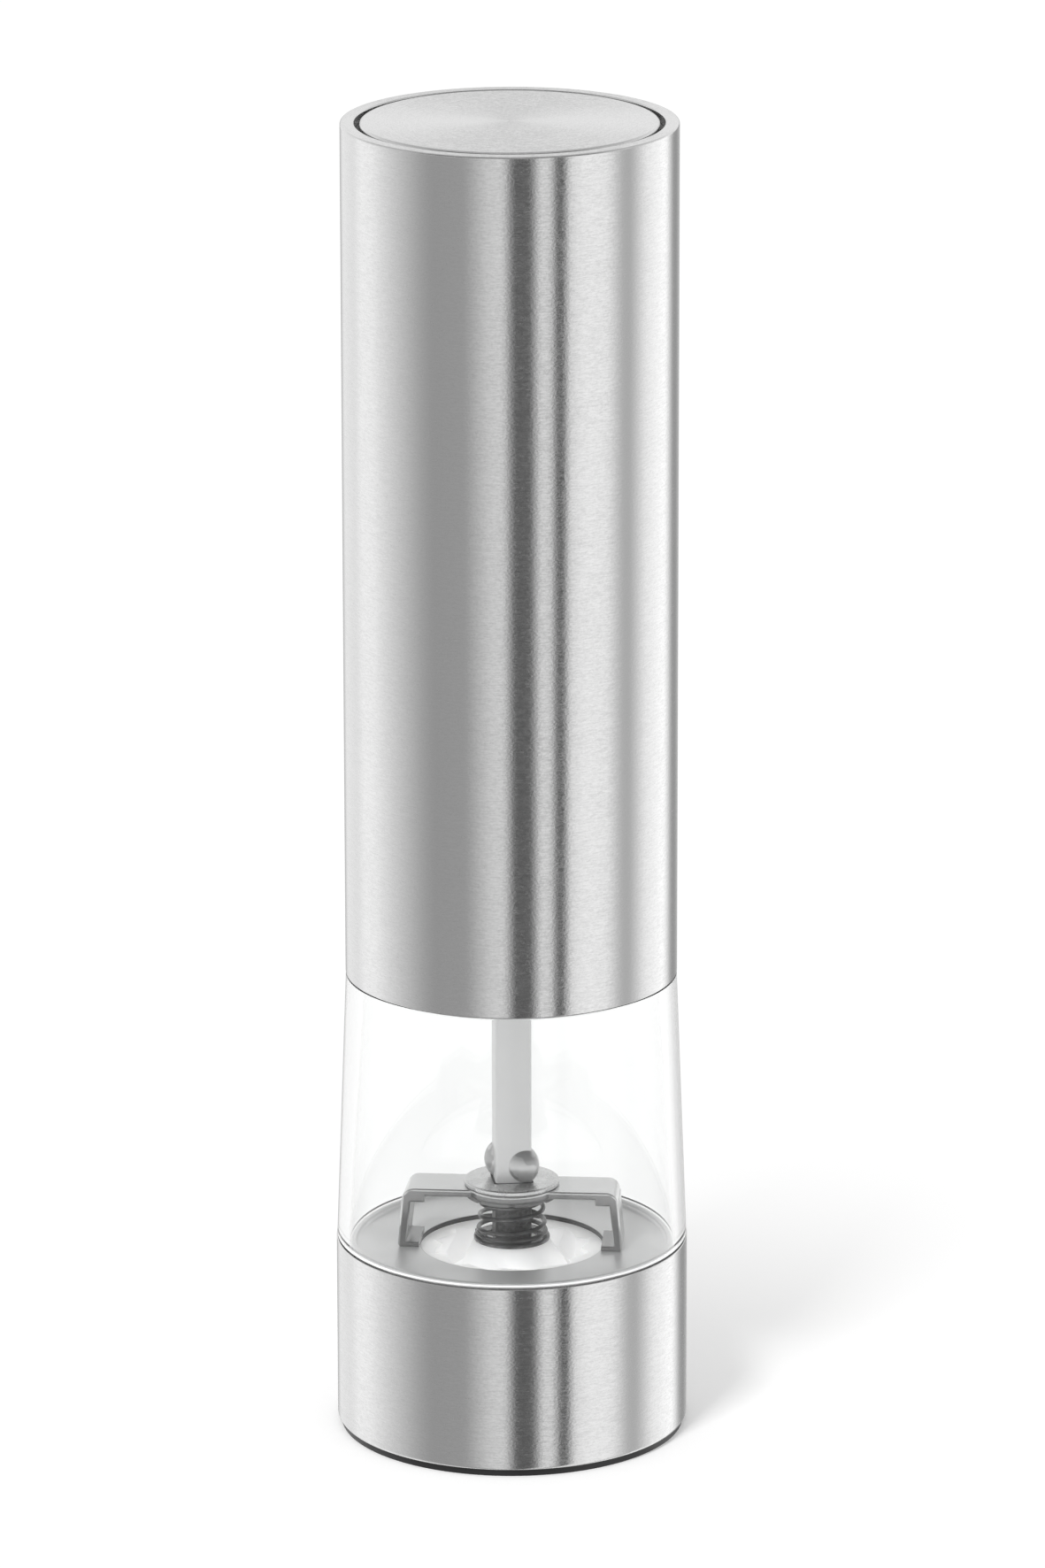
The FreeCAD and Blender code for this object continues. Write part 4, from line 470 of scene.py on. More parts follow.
def plain_metal(name, colour, roughness, stained=0.94):
    """Turned or pressed metal with a fine grain, and stained down to a share of its colour."""
    plan, place = new_finish(name)
    fine = plan.noise(place, 2400.0, 3.0)
    stain = plan.noise(place, 420.0, 2.0)
    tone = fine * 0.4 + stain * 0.6
    sockets = {
        "Base Color": plan.blend(plan.spread(tone, 0.35, 0.65), scaled(colour, stained), colour),
        "Metallic": 1.0,
        "Roughness": plan.spread(tone, 0.3, 0.7, roughness + 0.05, roughness - 0.05),
        "Normal": plan.bump(fine, 0.04, 0.02),
    }
    return principled(plan, sockets)


def moulded(name, colour, roughness):
    """Moulded plastic: a fine even texture, a broad change of gloss and a faint change of shade."""
    plan, place = new_finish(name)
    fine = plan.noise(place, 900.0, 3.0)
    broad = plan.noise(place, 110.0, 2.0)
    gloss = fine * 0.4 + broad * 0.6
    dark, light = scaled(colour, 0.94), scaled(colour, 1.05)
    sockets = {
        "Base Color": plan.blend(plan.spread(broad, 0.35, 0.65), dark, light),
        "Roughness": plan.spread(gloss, 0.3, 0.7, roughness - 0.05, roughness + 0.05),
        "Normal": plan.bump(fine, 0.15, 0.02),
    }
    return principled(plan, sockets)


def lacquered(name, shade, roughness, metallic, unshaded_part, painted_shade_or_plain):
    """Silver lacquer: fine flakes in a satin coat on the unshaded part, and a darker grey off it,
    which is painted shade.
    """
    plan, place = new_finish(name)
    flakes = plan.noise(place, 6000.0, 1.0)
    broad = plan.noise(place, 160.0, 2.0)
    coat = plan.mottled(plan.spread(flakes, 0.3, 0.7), shade)
    sockets = {
        # Where the mask is low the base colour is a darker grey of painted shade.
        "Base Color": plan.blend(unshaded_part(plan, place), grey(painted_shade_or_plain), coat),
        "Metallic": metallic,
        "Roughness": plan.spread(broad, 0.3, 0.7, roughness - 0.02, roughness + 0.03),
        "Normal": plan.bump(flakes, 0.05, 0.01),
    }
    return principled(plan, sockets)


def floor_unshaded_part(plan, place):
    """All of the floor plate but the edge of its hole, which gets painted shade."""
    edge, blur = FLOOR_HOLE + 0.05, 0.2
    return plan.spread(plan.from_axis(place), edge * MM, (edge + blur) * MM)


def bridge_unshaded_part(plan, place):
    """The part of the bridge without painted shade: the top of the strap, its bends and the outer
    sides of its legs. Its undersides and the inner sides of its legs get painted shade.

    With u the distance along the strap from its middle and v the height over its top, this part is
    where the greatest of v, u + slope v - side and (u + v) / sqrt 2 - bend is nearly zero.
    """
    slope, side, diagonal = 0.082, BRIDGE_SHOULDER - 0.05, math.sqrt(0.5)
    furthest_bend = BRIDGE_SHOULDER * diagonal + BRIDGE_CORNER * (1 - 2 * diagonal)
    x, y, z = plan.parts(place)
    cosine, sine = math.cos(BRIDGE_TURN), math.sin(BRIDGE_TURN)
    along = plan.math("ABSOLUTE", x * cosine + y * sine)
    upper = z - top("bridge_bracket") * MM
    outer = along + upper * slope - side * MM
    bend = (along + upper) * diagonal - furthest_bend * MM
    furthest = plan.math("MAXIMUM", plan.math("MAXIMUM", upper, outer), bend)
    return plan.spread(furthest, -0.45 * MM, -0.2 * MM)


def shaft_zinc(name, shade, wear_and_shade, height):
    """Die-cast zinc with painted shade below a height, and duller on the pressed ears, where
    darker patches are a painted dark reflection.

    The ears are where the greater of |x cos t + y sin t| and |y cos t - x sin t|, with t the turn
    of the shaft, is more than half of the shaft's width.
    """
    plan, place = new_finish(name)
    x, y, z = plan.parts(place)
    fine = plan.noise(place, 1800.0, 3.0)
    stain = plan.noise(place, 260.0, 2.0)
    above = plan.spread(z, height * MM, (height + 0.1) * MM)
    cosine, sine = math.cos(SHAFT_TURN), math.sin(SHAFT_TURN)
    across = plan.math("ABSOLUTE", x * cosine + y * sine)
    along = plan.math("ABSOLUTE", y * cosine - x * sine)
    aside = plan.math("MAXIMUM", across, along)
    pressed = plan.spread(aside, (SHAFT_HALF + 0.03) * MM, (SHAFT_HALF + 0.1) * MM)
    tone = plan.spread(fine * 0.6 + stain * 0.4, 0.35, 0.65)
    painted_shade_or_plain = plan.blend(tone, grey(shade * 0.98), grey(shade))
    # Darker patches on the ears, drawn from the stain noise, are a painted dark reflection.
    bright = plan.blend(pressed * plan.spread(stain, 0.5, 0.56), painted_shade_or_plain, grey(shade * 0.7))
    # The darker grey below the height is painted shade.
    dark = plan.blend(tone, grey(wear_and_shade * 0.6), grey(wear_and_shade * 1.3))
    sockets = {
        "Base Color": plan.blend(above, dark, bright),
        "Metallic": plan.spread(above, 0.0, 1.0, 1.0, 0.75),
        "Roughness": plan.spread(pressed, 0.0, 1.0, 0.36, 0.4),
        "Normal": plan.bump(fine, 0.06, 0.02),
    }
    return principled(plan, sockets)


def ceramic(name):
    """White sintered ceramic: a dull fine grain and the faint grey that grinding leaves.

    It glows a little, for the light that would come to it through the clear chamber.
    """
    plan, place = new_finish(name)
    fine = plan.noise(place, 3000.0, 3.0)
    wear_and_shade = plan.noise(place, 320.0, 3.0)
    ground = plan.spread(wear_and_shade, 0.42, 0.68)
    sockets = {
        "Base Color": plan.blend(ground, grey(0.97, 0.003), grey(0.94, 0.006)),
        "Roughness": plan.spread(fine, 0.3, 0.7, 0.3, 0.42),
        "Emission Color": grey(1.0),
        "Emission Strength": 0.21,
        "Subsurface Weight": 1.0,
        "Subsurface Radius": (1.0, 1.0, 0.95),
        "Subsurface Scale": 0.005,
        "Normal": plan.bump(fine, 0.2, 0.02),
    }
    return principled(plan, sockets)


def clear_plastic(name):
    """Clear moulded plastic, greyer aslant with painted shade, which lets the lamps through to what
    it holds.

    Its spigot, which the base hides, is frosted and glows a little with painted light, and so its
    foot looks pale.
    """
    plan, place = new_finish(name)
    blur = 0.05
    seam = top("base_sleeve") + SEAM_GAP - blur
    shown = plan.spread(plan.height(place), (seam - blur) * MM, seam * MM)
    flow = plan.noise(place, 45.0, 1.0)
    facing = plan.node("LayerWeight", sockets={"Blend": 0.5}, output="Facing")
    # Seen aslant the base colour turns grey: painted shade along the chamber's edges.
    aslant = plan.spread(facing, 0.45, 0.85)
    sockets = {
        "Base Color": plan.blend(aslant, (0.985, 0.99, 0.988, 1), grey(0.84)),
        "Roughness": 0.0,
        "IOR": 1.49,
        "Transmission Weight": 1.0,
        "Normal": plan.bump(flow, 0.05, 0.3),
    }
    clear = plan.node("BsdfPrincipled", sockets=sockets)
    through = plan.node("BsdfTransparent", sockets={"Color": (0.96, 0.965, 0.963, 1)})
    shadow = plan.node("LightPath", output="Is Shadow Ray")
    mixed = plan.node("MixShader", sockets={0: shadow, 1: clear, 2: through})
    # The frosted spigot glows with painted light, so that the chamber's foot looks pale.
    frost_with_painted_light = {
        "Base Color": grey(0.85),
        "Roughness": 0.5,
        "Emission Color": grey(1.0),
        "Emission Strength": 0.32,
    }
    frosted_with_painted_light = plan.node("BsdfPrincipled", sockets=frost_with_painted_light)
    return finished(plan, plan.node("MixShader", sockets={0: shown, 1: frosted_with_painted_light, 2: mixed}))


def cell_jacket(name):
    """A battery cell: a coloured film on its middle and bare steel at its ends.

    The film runs between two heights, and the upper part of it is a lighter band.
    """
    plan, place = new_finish(name)
    fine = plan.noise(place, 1500.0, 2.0)
    height = plan.height(place)
    bare_foot, bare_head, band_height, blur = 4.4, 1.6, 14.0, 0.1

    def above(level):
        return plan.spread(height, level * MM, (level + blur) * MM)

    high = top("battery_cell_2") - bare_head
    film = above(bottom("battery_cell_2") + bare_foot) - above(high)
    band = above(high - band_height)
    jacket = plan.blend(band, (0.03, 0.09, 0.16, 1), (0.55, 0.56, 0.58, 1))
    sockets = {
        "Base Color": plan.blend(film, grey(0.6), jacket),
        "Metallic": plan.spread(film, 0.0, 1.0, 1.0, 0.0),
        "Roughness": plan.spread(fine, 0.3, 0.7, 0.24, 0.34),
        "Normal": plan.bump(fine, 0.08, 0.02),
    }
    return principled(plan, sockets)


FINISHES = {
    "brushed_steel": brushed_steel("brushed_steel", 0.76, 0.2),
    "steel": plain_metal("steel", grey(0.7), 0.26),
    "spring_steel": plain_metal("spring_steel", grey(0.17), 0.2, stained=0.25),
    "clear_plastic": clear_plastic("clear_plastic"),
    "black_plastic": moulded("black_plastic", (0.022, 0.022, 0.023), 0.42),
    "grey_plastic": moulded("grey_plastic", grey(0.2), 0.38),
    # The floor plate's lacquer has painted shade on the edge of its hole.
    "silver_lacquer": lacquered(
        "silver_lacquer", 0.83, 0.38, metallic=0.65, unshaded_part=floor_unshaded_part, painted_shade_or_plain=0.05
    ),
    # The bridge's undersides and the inner sides of its legs get painted shade.
    "bridge_lacquer": lacquered(
        "bridge_lacquer", 0.7, 0.22, metallic=0.93, unshaded_part=bridge_unshaded_part, painted_shade_or_plain=0.26
    ),
    "white_plastic": moulded("white_plastic", (0.8, 0.8, 0.78), 0.4),
    # The zinc gets painted shade below the washer and painted dark reflections on its ears.
    "zinc": shaft_zinc("zinc", 0.76, wear_and_shade=0.16, height=top("shaft_washer")),
    "ceramic": ceramic("ceramic"),
    "brass": plain_metal("brass", (0.75, 0.55, 0.25, 1), 0.28),
    "iron": plain_metal("iron", grey(0.35), 0.45),
    "ferrite": moulded("ferrite", (0.05, 0.05, 0.052), 0.55),
    "copper": plain_metal("copper", (0.82, 0.42, 0.26, 1), 0.3),
    "cell_jacket": cell_jacket("cell_jacket"),
}
SLOTS = {part["node"]: part["material_slot"] for part in frame["record"]["subparts"]}


def stand_in(piece, *nodes, finish=None):
    """Puts a piece on the body of the CAD nodes that it stands for, with their finish."""
    node = frame["nodes"][nodes[0]]
    slot = SLOTS[nodes[0]]
    piece.data.materials.clear()
    piece.data.materials.append(FINISHES[finish or slot])
    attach(piece, node["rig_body"])
    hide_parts(*nodes)
    return piece


# Steel sleeve, base sleeve and button


def upper_sleeve():
    """A steel tube with a flat rim turned in round the button."""
    outside, low, high = reach("upper_sleeve"), bottom("upper_sleeve"), top("upper_sleeve")
    wall, rim, rim_thickness = 1.2, 2.2, 1.5
    corners = [
        (outside - wall, low, 0.1),
        (outside, low, 0.12),
        (outside, high, 0.3),
        (outside - rim, high, 0.2),
        (outside - rim, high - rim_thickness, 0.1),
        (outside - wall, high - rim_thickness, 0.2),
    ]
    stand_in(turned("sleeve_tube", corners), "upper_sleeve")


def base_sleeve():
    """The steel ring round the foot, rolled in a little at its lower edge."""
    outside, low, high = reach("base_sleeve"), bottom("base_sleeve"), top("base_sleeve")
    wall = 1.0
    corners = [
        (outside - wall, low, 0.1),
        (outside, low, 0.6),
        (outside, high, 0.15),
        (outside - wall, high, 0.1),
    ]
    stand_in(turned("base_ring", corners), "base_sleeve")


def button_cap():
    """The steel button: a low crown, 0.05 (1 - (r / edge)^2) high, a rounded edge and a skirt."""
    outside, low, high = reach("button_cap"), bottom("button_cap"), top("button_cap")
    crown, edge, sheet, skirt, flat = 0.05, 0.5, 1.0, 0.6, 0.3
    shoulder = high - crown
    radii = np.linspace(0, outside - edge - flat, 24)
    heights = high - crown * (radii / (outside - edge)) ** 2
    corners = [(radius, height, 0.0) for radius, height in zip(radii, heights)]
    corners += [
        (outside, shoulder + 0.01, edge),
        (outside, low, 0.08),
        (outside - skirt, low, 0.08),
        (outside - skirt, shoulder - sheet, 0.2),
        (0, shoulder - sheet, 0.0),
    ]
    stand_in(turned("button_top", corners, closed=False), "button_cap")


# Clear chamber and its floor


def pepper_chamber():
    """The clear chamber: a slightly tapered wall, a neck above and a spigot in the base below."""
    low, high = bottom("pepper_chamber"), top("pepper_chamber")
    foot = reach("pepper_chamber")
    head, neck, spigot = 25.95, 24.65, 26.65
    seam = top("base_sleeve") + SEAM_GAP
    shoulder = bottom("upper_sleeve") - 0.1
    wall, neck_wall, spigot_wall, chamfer = 2.1, 1.8, 1.4, 1.0
    corners = [
        (spigot - spigot_wall, low, 0.1),
        (spigot, low, 0.2),
        (spigot, seam, 0.05),
        (foot, seam, 0.25),
        (head, shoulder, 0.25),
        (neck, shoulder, 0.1),
        (neck, high, 0.3),
        (neck - neck_wall, high, 0.3),
        (neck - neck_wall, shoulder, 1.0),
        (foot - wall, seam, 0.3),
        (spigot - spigot_wall, seam - chamfer, 0.2),
    ]
    stand_in(turned("clear_chamber", corners, count=256), "pepper_chamber")


def chamber_floor():
    """The floor plate: a hole over the mill, a gentle rise outwards and a lip along the wall."""
    low, high = bottom("chamber_floor"), top("chamber_floor")
    outside, lip, hole, flat = reach("chamber_floor"), 0.8, FLOOR_HOLE, 18.8
    plate, rise = 0.8, 0.6
    corners = [
        (hole, low, 0.1),
        (outside, low, 0.1),
        (outside, high, 0.25),
        (outside - lip, high, 0.25),
        (outside - lip, low + plate + rise, 0.5),
        (flat, low + plate, 0.0),
        (hole, low + plate, 0.3),
    ]
    stand_in(turned("floor_plate", corners), "chamber_floor")


# Bridge, bush, shaft, washers and spring


def pin(name, radius, low, high, rounding, count):
    """A round pin on the axis of the mill, with its lower rim rounded."""
    corners = [(0, low), (radius, low, rounding), (radius, high), (0, high)]
    return turned(name, corners, closed=False, count=count)


def turn_mesh(piece, angle):
    """Turns a mesh about the axis of the mill."""
    piece.data.transform(Matrix.Rotation(angle, 4, "Z"))
    return piece


def bridge():
    """The bridge over the mill: a strap on two legs with inward toes, cast in one.

    Its section is carried along the strap: at each station a rounded rectangle lies between an
    outer and an inner point, as wide as the strap or as the round boss in its middle.
    """
    seat = 1.4  # of the feet, below the lip of the chamber's floor
    floor = top("chamber_floor") - seat
    high = top("bridge_bracket") - floor
    shoulder, corner, bore = BRIDGE_SHOULDER, BRIDGE_CORNER, 5.11
    span, leg, strap, gusset, gusset_end = 17.6, 1.3, 1.2, 2.2, 13.4
    toe, toe_thickness = 3.3, 0.8
    half_width, boss, rim, past = 4.25, 7.4, 0.25, 3
    stations = [
        ((-span + toe, 0), (-span + toe, toe_thickness)),
        ((-span + toe + 0.1 - leg, 0), (-span + toe + 0.1 - leg, toe_thickness)),
        ((-span + 0.5, 0), (-span + leg + 0.2, toe_thickness)),
        ((-span + 0.15, 0.15), (-span + leg + 0.06, toe_thickness + 0.06)),
        ((-span, 0.5), (-span + leg, toe_thickness + 0.2)),
        ((-span + 0.3, 3.5), (-span + leg + 0.3, 3.5)),
        ((-shoulder - 0.1, high - corner - 0.1), (-shoulder + leg, high - gusset - 0.05)),
    ]
    for angle in np.radians(np.linspace(180, 90, 9)):
        x = -shoulder + corner + corner * math.cos(angle)
        z = high - corner + corner * math.sin(angle)
        stations.append(((x, z), (-shoulder + leg + 0.5 * (x + shoulder), high - gusset)))
    stations += [
        ((-gusset_end - 0.05, high), (-gusset_end - 0.02, high - gusset)),
        ((-gusset_end, high), (-gusset_end, high - gusset + 0.05)),
        ((-gusset_end + 0.03, high), (-gusset_end + 0.03, high - strap)),
    ]
    for x in -boss * np.cos(np.linspace(0.0, np.pi / 2, 14)):
        stations.append(((x, high), (x, high - strap)))
    left = np.array(stations)
    outer, inner = np.concatenate([left, left[-2::-1] * [-1, 1]]).transpose(1, 0, 2)
    half = np.maximum(half_width, np.sqrt(np.maximum(boss**2 - outer[:, 0] ** 2, 0)))
    thick = np.linalg.norm(outer - inner, axis=1)
    side = edge_insets(rim)
    depth = side[::-1]
    width, deep = half[:, None], thick[:, None]
    wide = [side - width, depth - width, width - side, width - depth]
    down = [0 * width + depth, deep - side, deep - depth, 0 * width + side]
    across = np.concatenate(wide, axis=1)
    down = np.clip(np.concatenate(down, axis=1), 0, deep)
    flat = outer[:, None] + (inner - outer)[:, None] * (down / deep)[..., None]
    points = np.stack([flat[..., 0], across, flat[..., 1] + floor], axis=-1)
    piece = surface("bridge", points, closed=False)
    crest = floor + high
    hole = pin("bush_hole", bore, crest - past, crest + past, rounding=0, count=96)
    change_by(piece, "DIFFERENCE", hole)
    # Its finish paints shade on its undersides and the inner sides of its legs.
    stand_in(turn_mesh(piece, BRIDGE_TURN), "bridge_bracket", finish="bridge_lacquer")


def notched_rim(radius, notch, count):
    """Angles and radii of a round rim with round notches.

    Within a notch of radius q about the rim's radius R the rim lies at
    R cos d - sqrt(q^2 - (R sin d)^2), where d is the angle from the notch's middle.
    """
    inside = math.asin(notch / radius)
    step = 2 * math.pi / count
    near = np.sin(np.linspace(-np.pi / 2, np.pi / 2, 13)) * inside
    far = np.linspace(inside, step - inside, 13)[1:-1]
    depth = np.sqrt(np.maximum(notch**2 - (radius * np.sin(near)) ** 2, 0))
    angles = np.concatenate([near, far])
    radii = np.concatenate([radius * np.cos(near) - depth, np.full(len(far), radius)])
    turns = (np.arange(count) * step)[:, None]
    return (turns + angles).ravel(), np.tile(radii, count)


def shaft_bush():
    """The plastic bush of the shaft, with eight notches in its flange."""
    low, high = bottom("shaft_bush"), top("shaft_bush")
    flange, thickness, body, bore = reach("shaft_bush"), 0.6, 5.06, 3.92
    angles, rim = notched_rim(flange, notch=0.5, count=8)
    rounding = 0.12
    rings = [
        (bore, low),
        (rim - rounding, low),
        (rim - rounding * 0.3, low + rounding * 0.3),
        (rim, low + rounding),
        (rim, low + thickness - rounding),
        (rim - rounding, low + thickness),
        (body, low + thickness),
        (body, high),
        (bore, high),
    ]
    radii = np.stack([np.broadcast_to(radius, rim.shape) for radius, _ in rings])
    heights = np.array([[height] for _, height in rings])
    stand_in(surface("bush", around(radii, heights, angles[None])), "shaft_bush")


def square_radius(angles, half, chamfer):
    """Distance of a chamfered square's side from the axis in each direction.

    It is the least of half / |cos|, half / |sin| and (2 half - chamfer) / (|cos| + |sin|).
    """
    across, along = np.abs(np.cos(angles)), np.abs(np.sin(angles))
    sides = half / np.maximum(across, along)
    return np.minimum(sides, (2 * half - chamfer) / (across + along))


def shaft_washer():
    """The washer on the bridge, with a square hole for the shaft and rounded edges."""
    low, high, outside = bottom("shaft_washer"), top("shaft_washer"), reach("shaft_washer")
    play, bevel = 0.25, 0.05
    angles = full_turn()[None]
    hole = square_radius(angles - SHAFT_TURN, SHAFT_HALF + play, SHAFT_CHAMFER)
    edge = rounded([(0, low), (outside, low, 0.2), (outside, high, 0.28), (0, high)])[1:-1]
    rim = edge[:, :1].repeat(hole.size, 1)
    radii = np.concatenate([hole, hole + bevel, rim, hole + bevel, hole])
    heights = np.concatenate([[low + bevel, low], edge[:, 1], [high, high - bevel]])[:, None]
    stand_in(surface("washer", around(radii, heights, angles)), "shaft_washer")


def ear(side, middle):
    """A swaged ear of the shaft: a lens on edge, turned to stand along a corner of the square.

    Its half thickness at a distance q from its middle is sqrt(ball^2 - q^2) - (ball - half), and
    it is cut off just before its rim.
    """
    radius, half, out, cut = 3.3, 2.6, 1.85, 0.985
    ball = (radius**2 + half**2) / (2 * half)
    away = radius * np.sin(np.linspace(0, np.pi / 2, 14)) * cut
    thick = np.sqrt(ball**2 - away**2) - (ball - half)
    outline = np.concatenate([np.stack([away, thick], -1), np.stack([away, -thick], -1)[::-1]])
    points = around(outline[:, :1], outline[:, 1:], full_turn(64)[None])
    lens = surface(f"ear_{side + 2}", points, closed=False)
    upright = Matrix.Rotation(math.pi / 2, 4, "X")
    diagonal = Matrix.Rotation(math.radians(-45), 4, "Z")
    corner = Vector((side, -side, 0)).normalized() * out
    place = Matrix.Translation((corner + Vector((0, 0, middle))) * MM)
    lens.data.transform(place @ diagonal @ upright)
    return lens


def drive_shaft():
    """The square shaft with chamfered corners, two swaged ears and a round threaded end."""
    low, high = bottom("drive_shaft"), top("drive_shaft")
    square_low = bottom("ceramic_rotor") + 0.6
    half, ear_rise, stud_radius, joined = SHAFT_HALF, 2.7, 2.5, 1
    corners = [(half, half), (-half, half), (-half, -half), (half, -half)]
    outline = rounded([(x, y, SHAFT_CHAMFER * 1.6) for x, y in corners], step=20)
    shaft = block("shaft", outline, square_low, high, rounding=0.2)
    for side in (-1, 1):
        change_by(shaft, "UNION", ear(side, top("shaft_washer") + ear_rise))
    stud = pin("stud", stud_radius, low, square_low + joined, rounding=0.3, count=64)
    change_by(shaft, "UNION", stud)
    stand_in(turn_mesh(shaft, SHAFT_TURN), "drive_shaft")


def mill_spring():
    """The mill spring, wound closer at its ends, between the rotor's washer and the bush.

    The adjuster lifts the washer by up to 0.4 mm.
    """
    foot, head = top("rotor_washer"), bottom("shaft_bush")
    foot_radius, head_radius, wire, travel = 5.4, 4.66, 0.75, 0.4
    line = coil(foot_radius, head_radius, foot, head, 4, crowding=0.7, wire=wire, start=math.pi)
    piece = stand_in(tube("spring", line, wire), "mill_spring")
    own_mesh(piece)


def rotor_washer():
    """The dark ring under the spring."""
    low, high, outside = bottom("rotor_washer"), top("rotor_washer"), reach("rotor_washer")
    bore = 3.92
    corners = [(bore, low, 0.08), (outside, low, 0.1), (outside, high, 0.15), (bore, high, 0.1)]
    stand_in(turned("spring_washer", corners), "rotor_washer", finish="spring_steel")


# Ceramic mill


def saw(share, low, high):
    """A saw tooth's radius: from low it rises to high over three quarters, then falls back."""
    peak = 0.75
    return low + (high - low) * np.where(share < peak, share / peak, (1 - share) / (1 - peak))


def ceramic_rotor():
    """The rotor: four lobes that widen downwards and twist, on a foot with grinding teeth.

    A lobe ring lies at middle * (1 + swing cos(4 (a - turn))), where middle * (1 + swing) goes
    from the hub to the waist as s^1.3, with s from 0 at the top to 1, and the swing is a quartic
    through known points (s, swing). A tooth ring is a saw round the foot's cone.
    """
    low, height, play = bottom("ceramic_rotor"), 10.8, 0.1
    hub, foot, waist, crown = 6.0, 13.2, 11.9, 7.0
    teeth, tooth, twist, lobe_twist, lobe_start = 24, 0.6, 12, 50, -90
    lobes_round, lobe_rings, tooth_rings = 4, 30, 7
    base = full_turn(teeth * 8)
    share = base * teeth / (2 * np.pi) % 1.0
    known = np.array([[0, 0], [0.15, 0.04], [0.45, 0.17], [0.75, 0.24], [1, 0.1]])
    swings = np.polyfit(*known.T, len(known) - 1)
    down = np.linspace(0, 1, lobe_rings)[:, None]
    angles = base[None] + math.radians(twist)
    swing = np.polyval(swings, down)
    furthest = hub + (waist - hub) * down**1.3
    turn = np.radians(lobe_start + lobe_twist * down)
    lobes = furthest / (1 + swing) * (1 + swing * np.cos(lobes_round * (angles - turn)))
    lobe_heights = low + height - crown * down
    up = np.linspace(1, 0, tooth_rings)[:, None]
    tip = foot + (waist - foot) * up
    toothed = saw(share[None], tip - tooth, tip)
    tooth_heights = low + (height - crown) * up
    tooth_angles = base[None] + np.radians(twist * up)
    high_bore, low_bore = (
        square_radius(ring - SHAFT_TURN, SHAFT_HALF + play, SHAFT_CHAMFER)
        for ring in (angles, base[None])
    )
    radii = np.concatenate([high_bore, lobes, toothed, low_bore])
    heights = np.concatenate([[[low + height]], lobe_heights, tooth_heights, [[low]]])
    turns = np.concatenate([angles, angles.repeat(lobe_rings, 0), tooth_angles, base[None]])
    stand_in(surface("rotor", around(radii, heights, turns)), "ceramic_rotor")


def ceramic_stator():
    """The stator: a ring with twelve saw teeth inside, which lean and widen downwards."""
    low, high, outside = bottom("ceramic_stator"), top("ceramic_stator"), 15.8
    head, foot, head_depth, foot_depth = 11.0, 13.8, 1.5, 0.6
    teeth, twist, first_tooth, edge, tooth_edge = 12, 25, -11.5, 0.2, 0.12
    base = full_turn(teeth * 16)
    share = base * teeth / (2 * np.pi) % 1.0
    up = np.linspace(1, 0, 9)[:, None]
    inner = foot + (head - foot) * up
    depth = foot_depth + (head_depth - foot_depth) * up
    inside = saw(share[None], inner, inner + depth)
    rim = np.full_like(base, outside)[None]
    radii = np.concatenate([rim, rim - edge, inside[:1] + tooth_edge, inside, rim])
    turn = np.radians(first_tooth - twist * up)
    levels = low + (high - low) * up
    brim = np.array([[high - edge], [high], [high], [high - tooth_edge]])
    heights = np.concatenate([brim, levels[1:], [[low]]])
    turns = np.concatenate([turn[:1], turn[:1], turn[:1], turn, turn[-1:]])
    stand_in(surface("stator", around(radii, heights, base[None] + turns)), "ceramic_stator")


# Pieces


upper_sleeve()
base_sleeve()
button_cap()
pepper_chamber()
chamber_floor()
bridge()
shaft_bush()
shaft_washer()
drive_shaft()
mill_spring()
rotor_washer()
ceramic_rotor()
ceramic_stator()

for name, node in frame["nodes"].items():
    for material_slot in node.material_slots:
        material_slot.material = FINISHES[SLOTS[name]]

# Studio: floor, light and camera

STUDIO_PANELS = [
    # from and to, in degrees from the camera towards the right, and the brightness at each end
    (-180, -168, 0.46, 0.50),
    (-158, -132, 0.95, 0.93),
    (-122, -108, 1.10, 1.06),
    (-100, -64, 0.93, 0.43),
    (-55, -31, 0.35, 0.37),
    (-14, -5, 0.73, 0.79),
    (2.7, 14, 0.10, 0.11),
    (21, 27.3, 0.84, 0.80),
    (32.6, 36.6, 0.09, 0.09),
    (41.5, 50, 0.88, 1.02),
    (56, 70, 1.06, 1.02),
    (83, 90, 0.52, 0.48),
    (106, 132, 1.02, 1.32),
    (147, 158, 0.34, 0.34),
    (168, 180, 0.56, 0.46),
]


def studio_world():
    """White for the camera, soft light for the surfaces, and panels for what metal mirrors.

    A mirrored ray's azimuth is atan2(x, -y). Below and near the horizon it meets upright panels,
    and higher up a pale ceiling that is brightest behind the mill, half as bright right above it,
    and dark in a band in front of it.
    """
    world = bpy.data.worlds.new("studio")
    SCENE.world = world
    plan = Plan(world)
    way = plan.node("TexCoord", output="Generated")
    x, y, z = plan.parts(way)
    azimuth = plan.math("ARCTAN2", x, y * -1.0)
    stops = []
    for first, last, start, end in STUDIO_PANELS:
        stops += [((first + 180) / 360, start), ((last + 180) / 360, end)]
    walls = plan.node("ValToRGB", {"stops": stops}, {0: azimuth / (2 * math.pi) + 0.5})
    slope = plan.spread(y, -0.2, 0.9, 0.7, 0.94)
    overhead = plan.spread(z, 0.2, 0.85)
    in_front = plan.spread(y * -1.0, 0.1, 0.35)
    band = plan.spread(z, 0.3, 0.42) - plan.spread(z, 0.8, 0.9)
    ceiling = (slope * (1 - overhead) + overhead * 0.5) * (1 - in_front * band * 0.8)
    mirrored = plan.blend(plan.spread(z, -0.1, 0.26), walls, ceiling)
    glossy, diffuse = plan.outputs("LightPath", "Glossy Depth", "Diffuse Depth")
    reflected = plan.blend(plan.math("MINIMUM", glossy, 1.0), grey(1.0), mirrored)
    seen = plan.blend(plan.math("MINIMUM", diffuse, 1.0), reflected, grey(0.68))
    background = plan.node("Background", sockets={"Color": seen, "Strength": 1.0})
    plan.node("OutputWorld", sockets={"Surface": background})


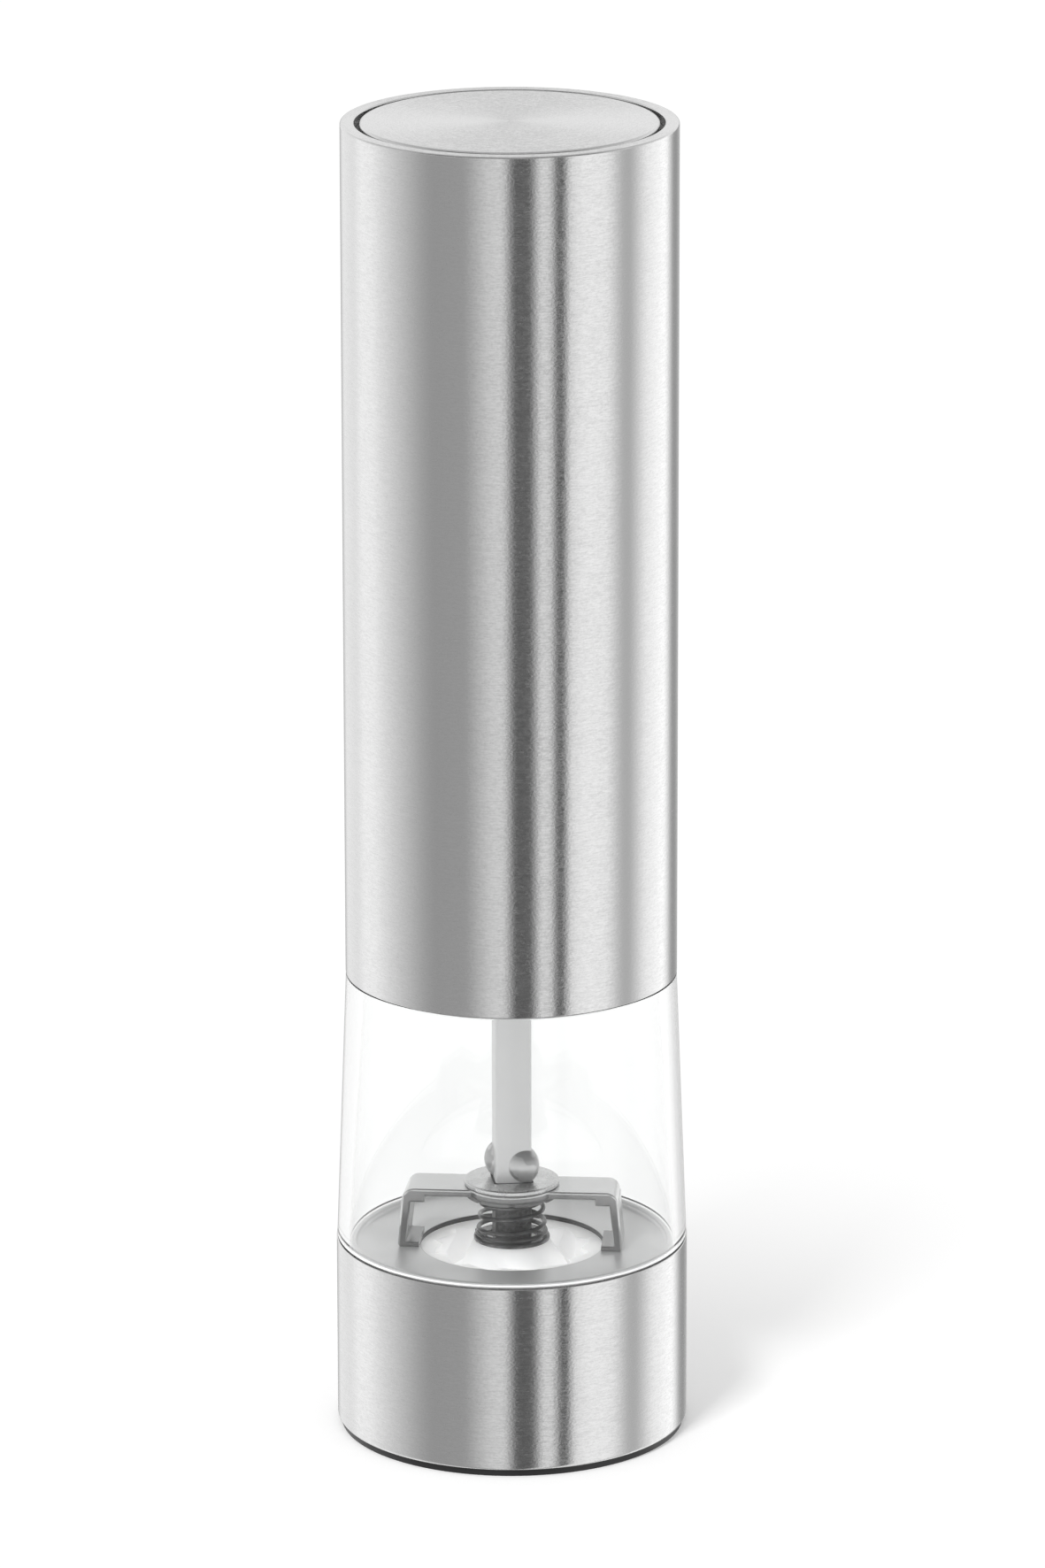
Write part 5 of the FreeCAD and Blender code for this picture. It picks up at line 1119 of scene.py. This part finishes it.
def studio_floor():
    """A white table, which gives light of its own where the camera sees it.

    Near the mill the lamp lights it, so that the shadow shows, and far from it only its own light
    does. Through the clear chamber it looks a little brighter. Other rays meet a pale grey.
    """
    half = 30.0
    mesh = bpy.data.meshes.new("table")
    corners = [(-half, -half, 0), (half, -half, 0), (half, half, 0), (-half, half, 0)]
    mesh.from_pydata(corners, [], [(0, 1, 2, 3)])
    table = bpy.data.objects.new("table", mesh)
    SCENE.collection.objects.link(table)
    plan = Plan(bpy.data.materials.new("table_white"))
    away = plan.spread(plan.from_axis(plan.place()), 0.03, 0.15)
    seen, transmitted = plan.outputs("LightPath", "Is Camera Ray", "Is Transmission Ray")
    shade = plan.node("BsdfDiffuse", sockets={"Color": plan.blend(away, grey(1.0), grey(0.1))})
    open_light = plan.blend(away, grey(0.12), grey(0.94))
    light = plan.blend(transmitted, open_light, plan.blend(away, grey(0.17), grey(0.97)))
    glow = plan.node("Emission", sockets={"Color": light, "Strength": 1.0})
    lit = plan.node("AddShader", sockets={0: shade, 1: glow})
    plain = plan.node("BsdfDiffuse", sockets={"Color": grey(0.75)})
    share = plan.math("MAXIMUM", seen, transmitted)
    mixed = plan.node("MixShader", sockets={0: share, 1: plain, 2: lit})
    mesh.materials.append(finished(plan, mixed))
    table.visible_glossy = False


def soft_lamp(name, place, aim, size, power):
    """A square soft lamp, left out of reflections and of what the clear plastic shows."""
    data = bpy.data.lights.new(name, "AREA")
    data.shape = "SQUARE"
    data.size = size
    data.energy = power
    lamp = bpy.data.objects.new(name, data)
    lamp.location = place
    lamp.rotation_euler = (Vector(aim) - Vector(place)).to_track_quat("-Z", "Y").to_euler()
    lamp.visible_glossy = False
    lamp.visible_transmission = False
    SCENE.collection.objects.link(lamp)


def camera():
    """A long lens a little above the mill, turned to the middle of its height."""
    data = bpy.data.cameras.new("camera")
    data.sensor_width = 36
    data.lens = 205.4
    data.clip_end = 100
    elevation, distance = math.radians(16.256), 1.3954
    aim = Vector((0.0018, 0, 0.1048))
    back = Vector((0, -math.cos(elevation), math.sin(elevation))) * distance
    eye = bpy.data.objects.new("camera", data)
    eye.location = aim + back
    roll = Matrix.Rotation(math.radians(-0.09), 4, back)
    eye.rotation_euler = (roll @ (-back).to_track_quat("-Z", "Y").to_matrix().to_4x4()).to_euler()
    SCENE.collection.objects.link(eye)
    SCENE.camera = eye


studio_world()
studio_floor()
soft_lamp("key", place=(-0.53, -1.05, 1.44), aim=(0, 0, 0.1), size=0.34, power=13.0)
camera()
SCENE.view_settings.view_transform = "Standard"
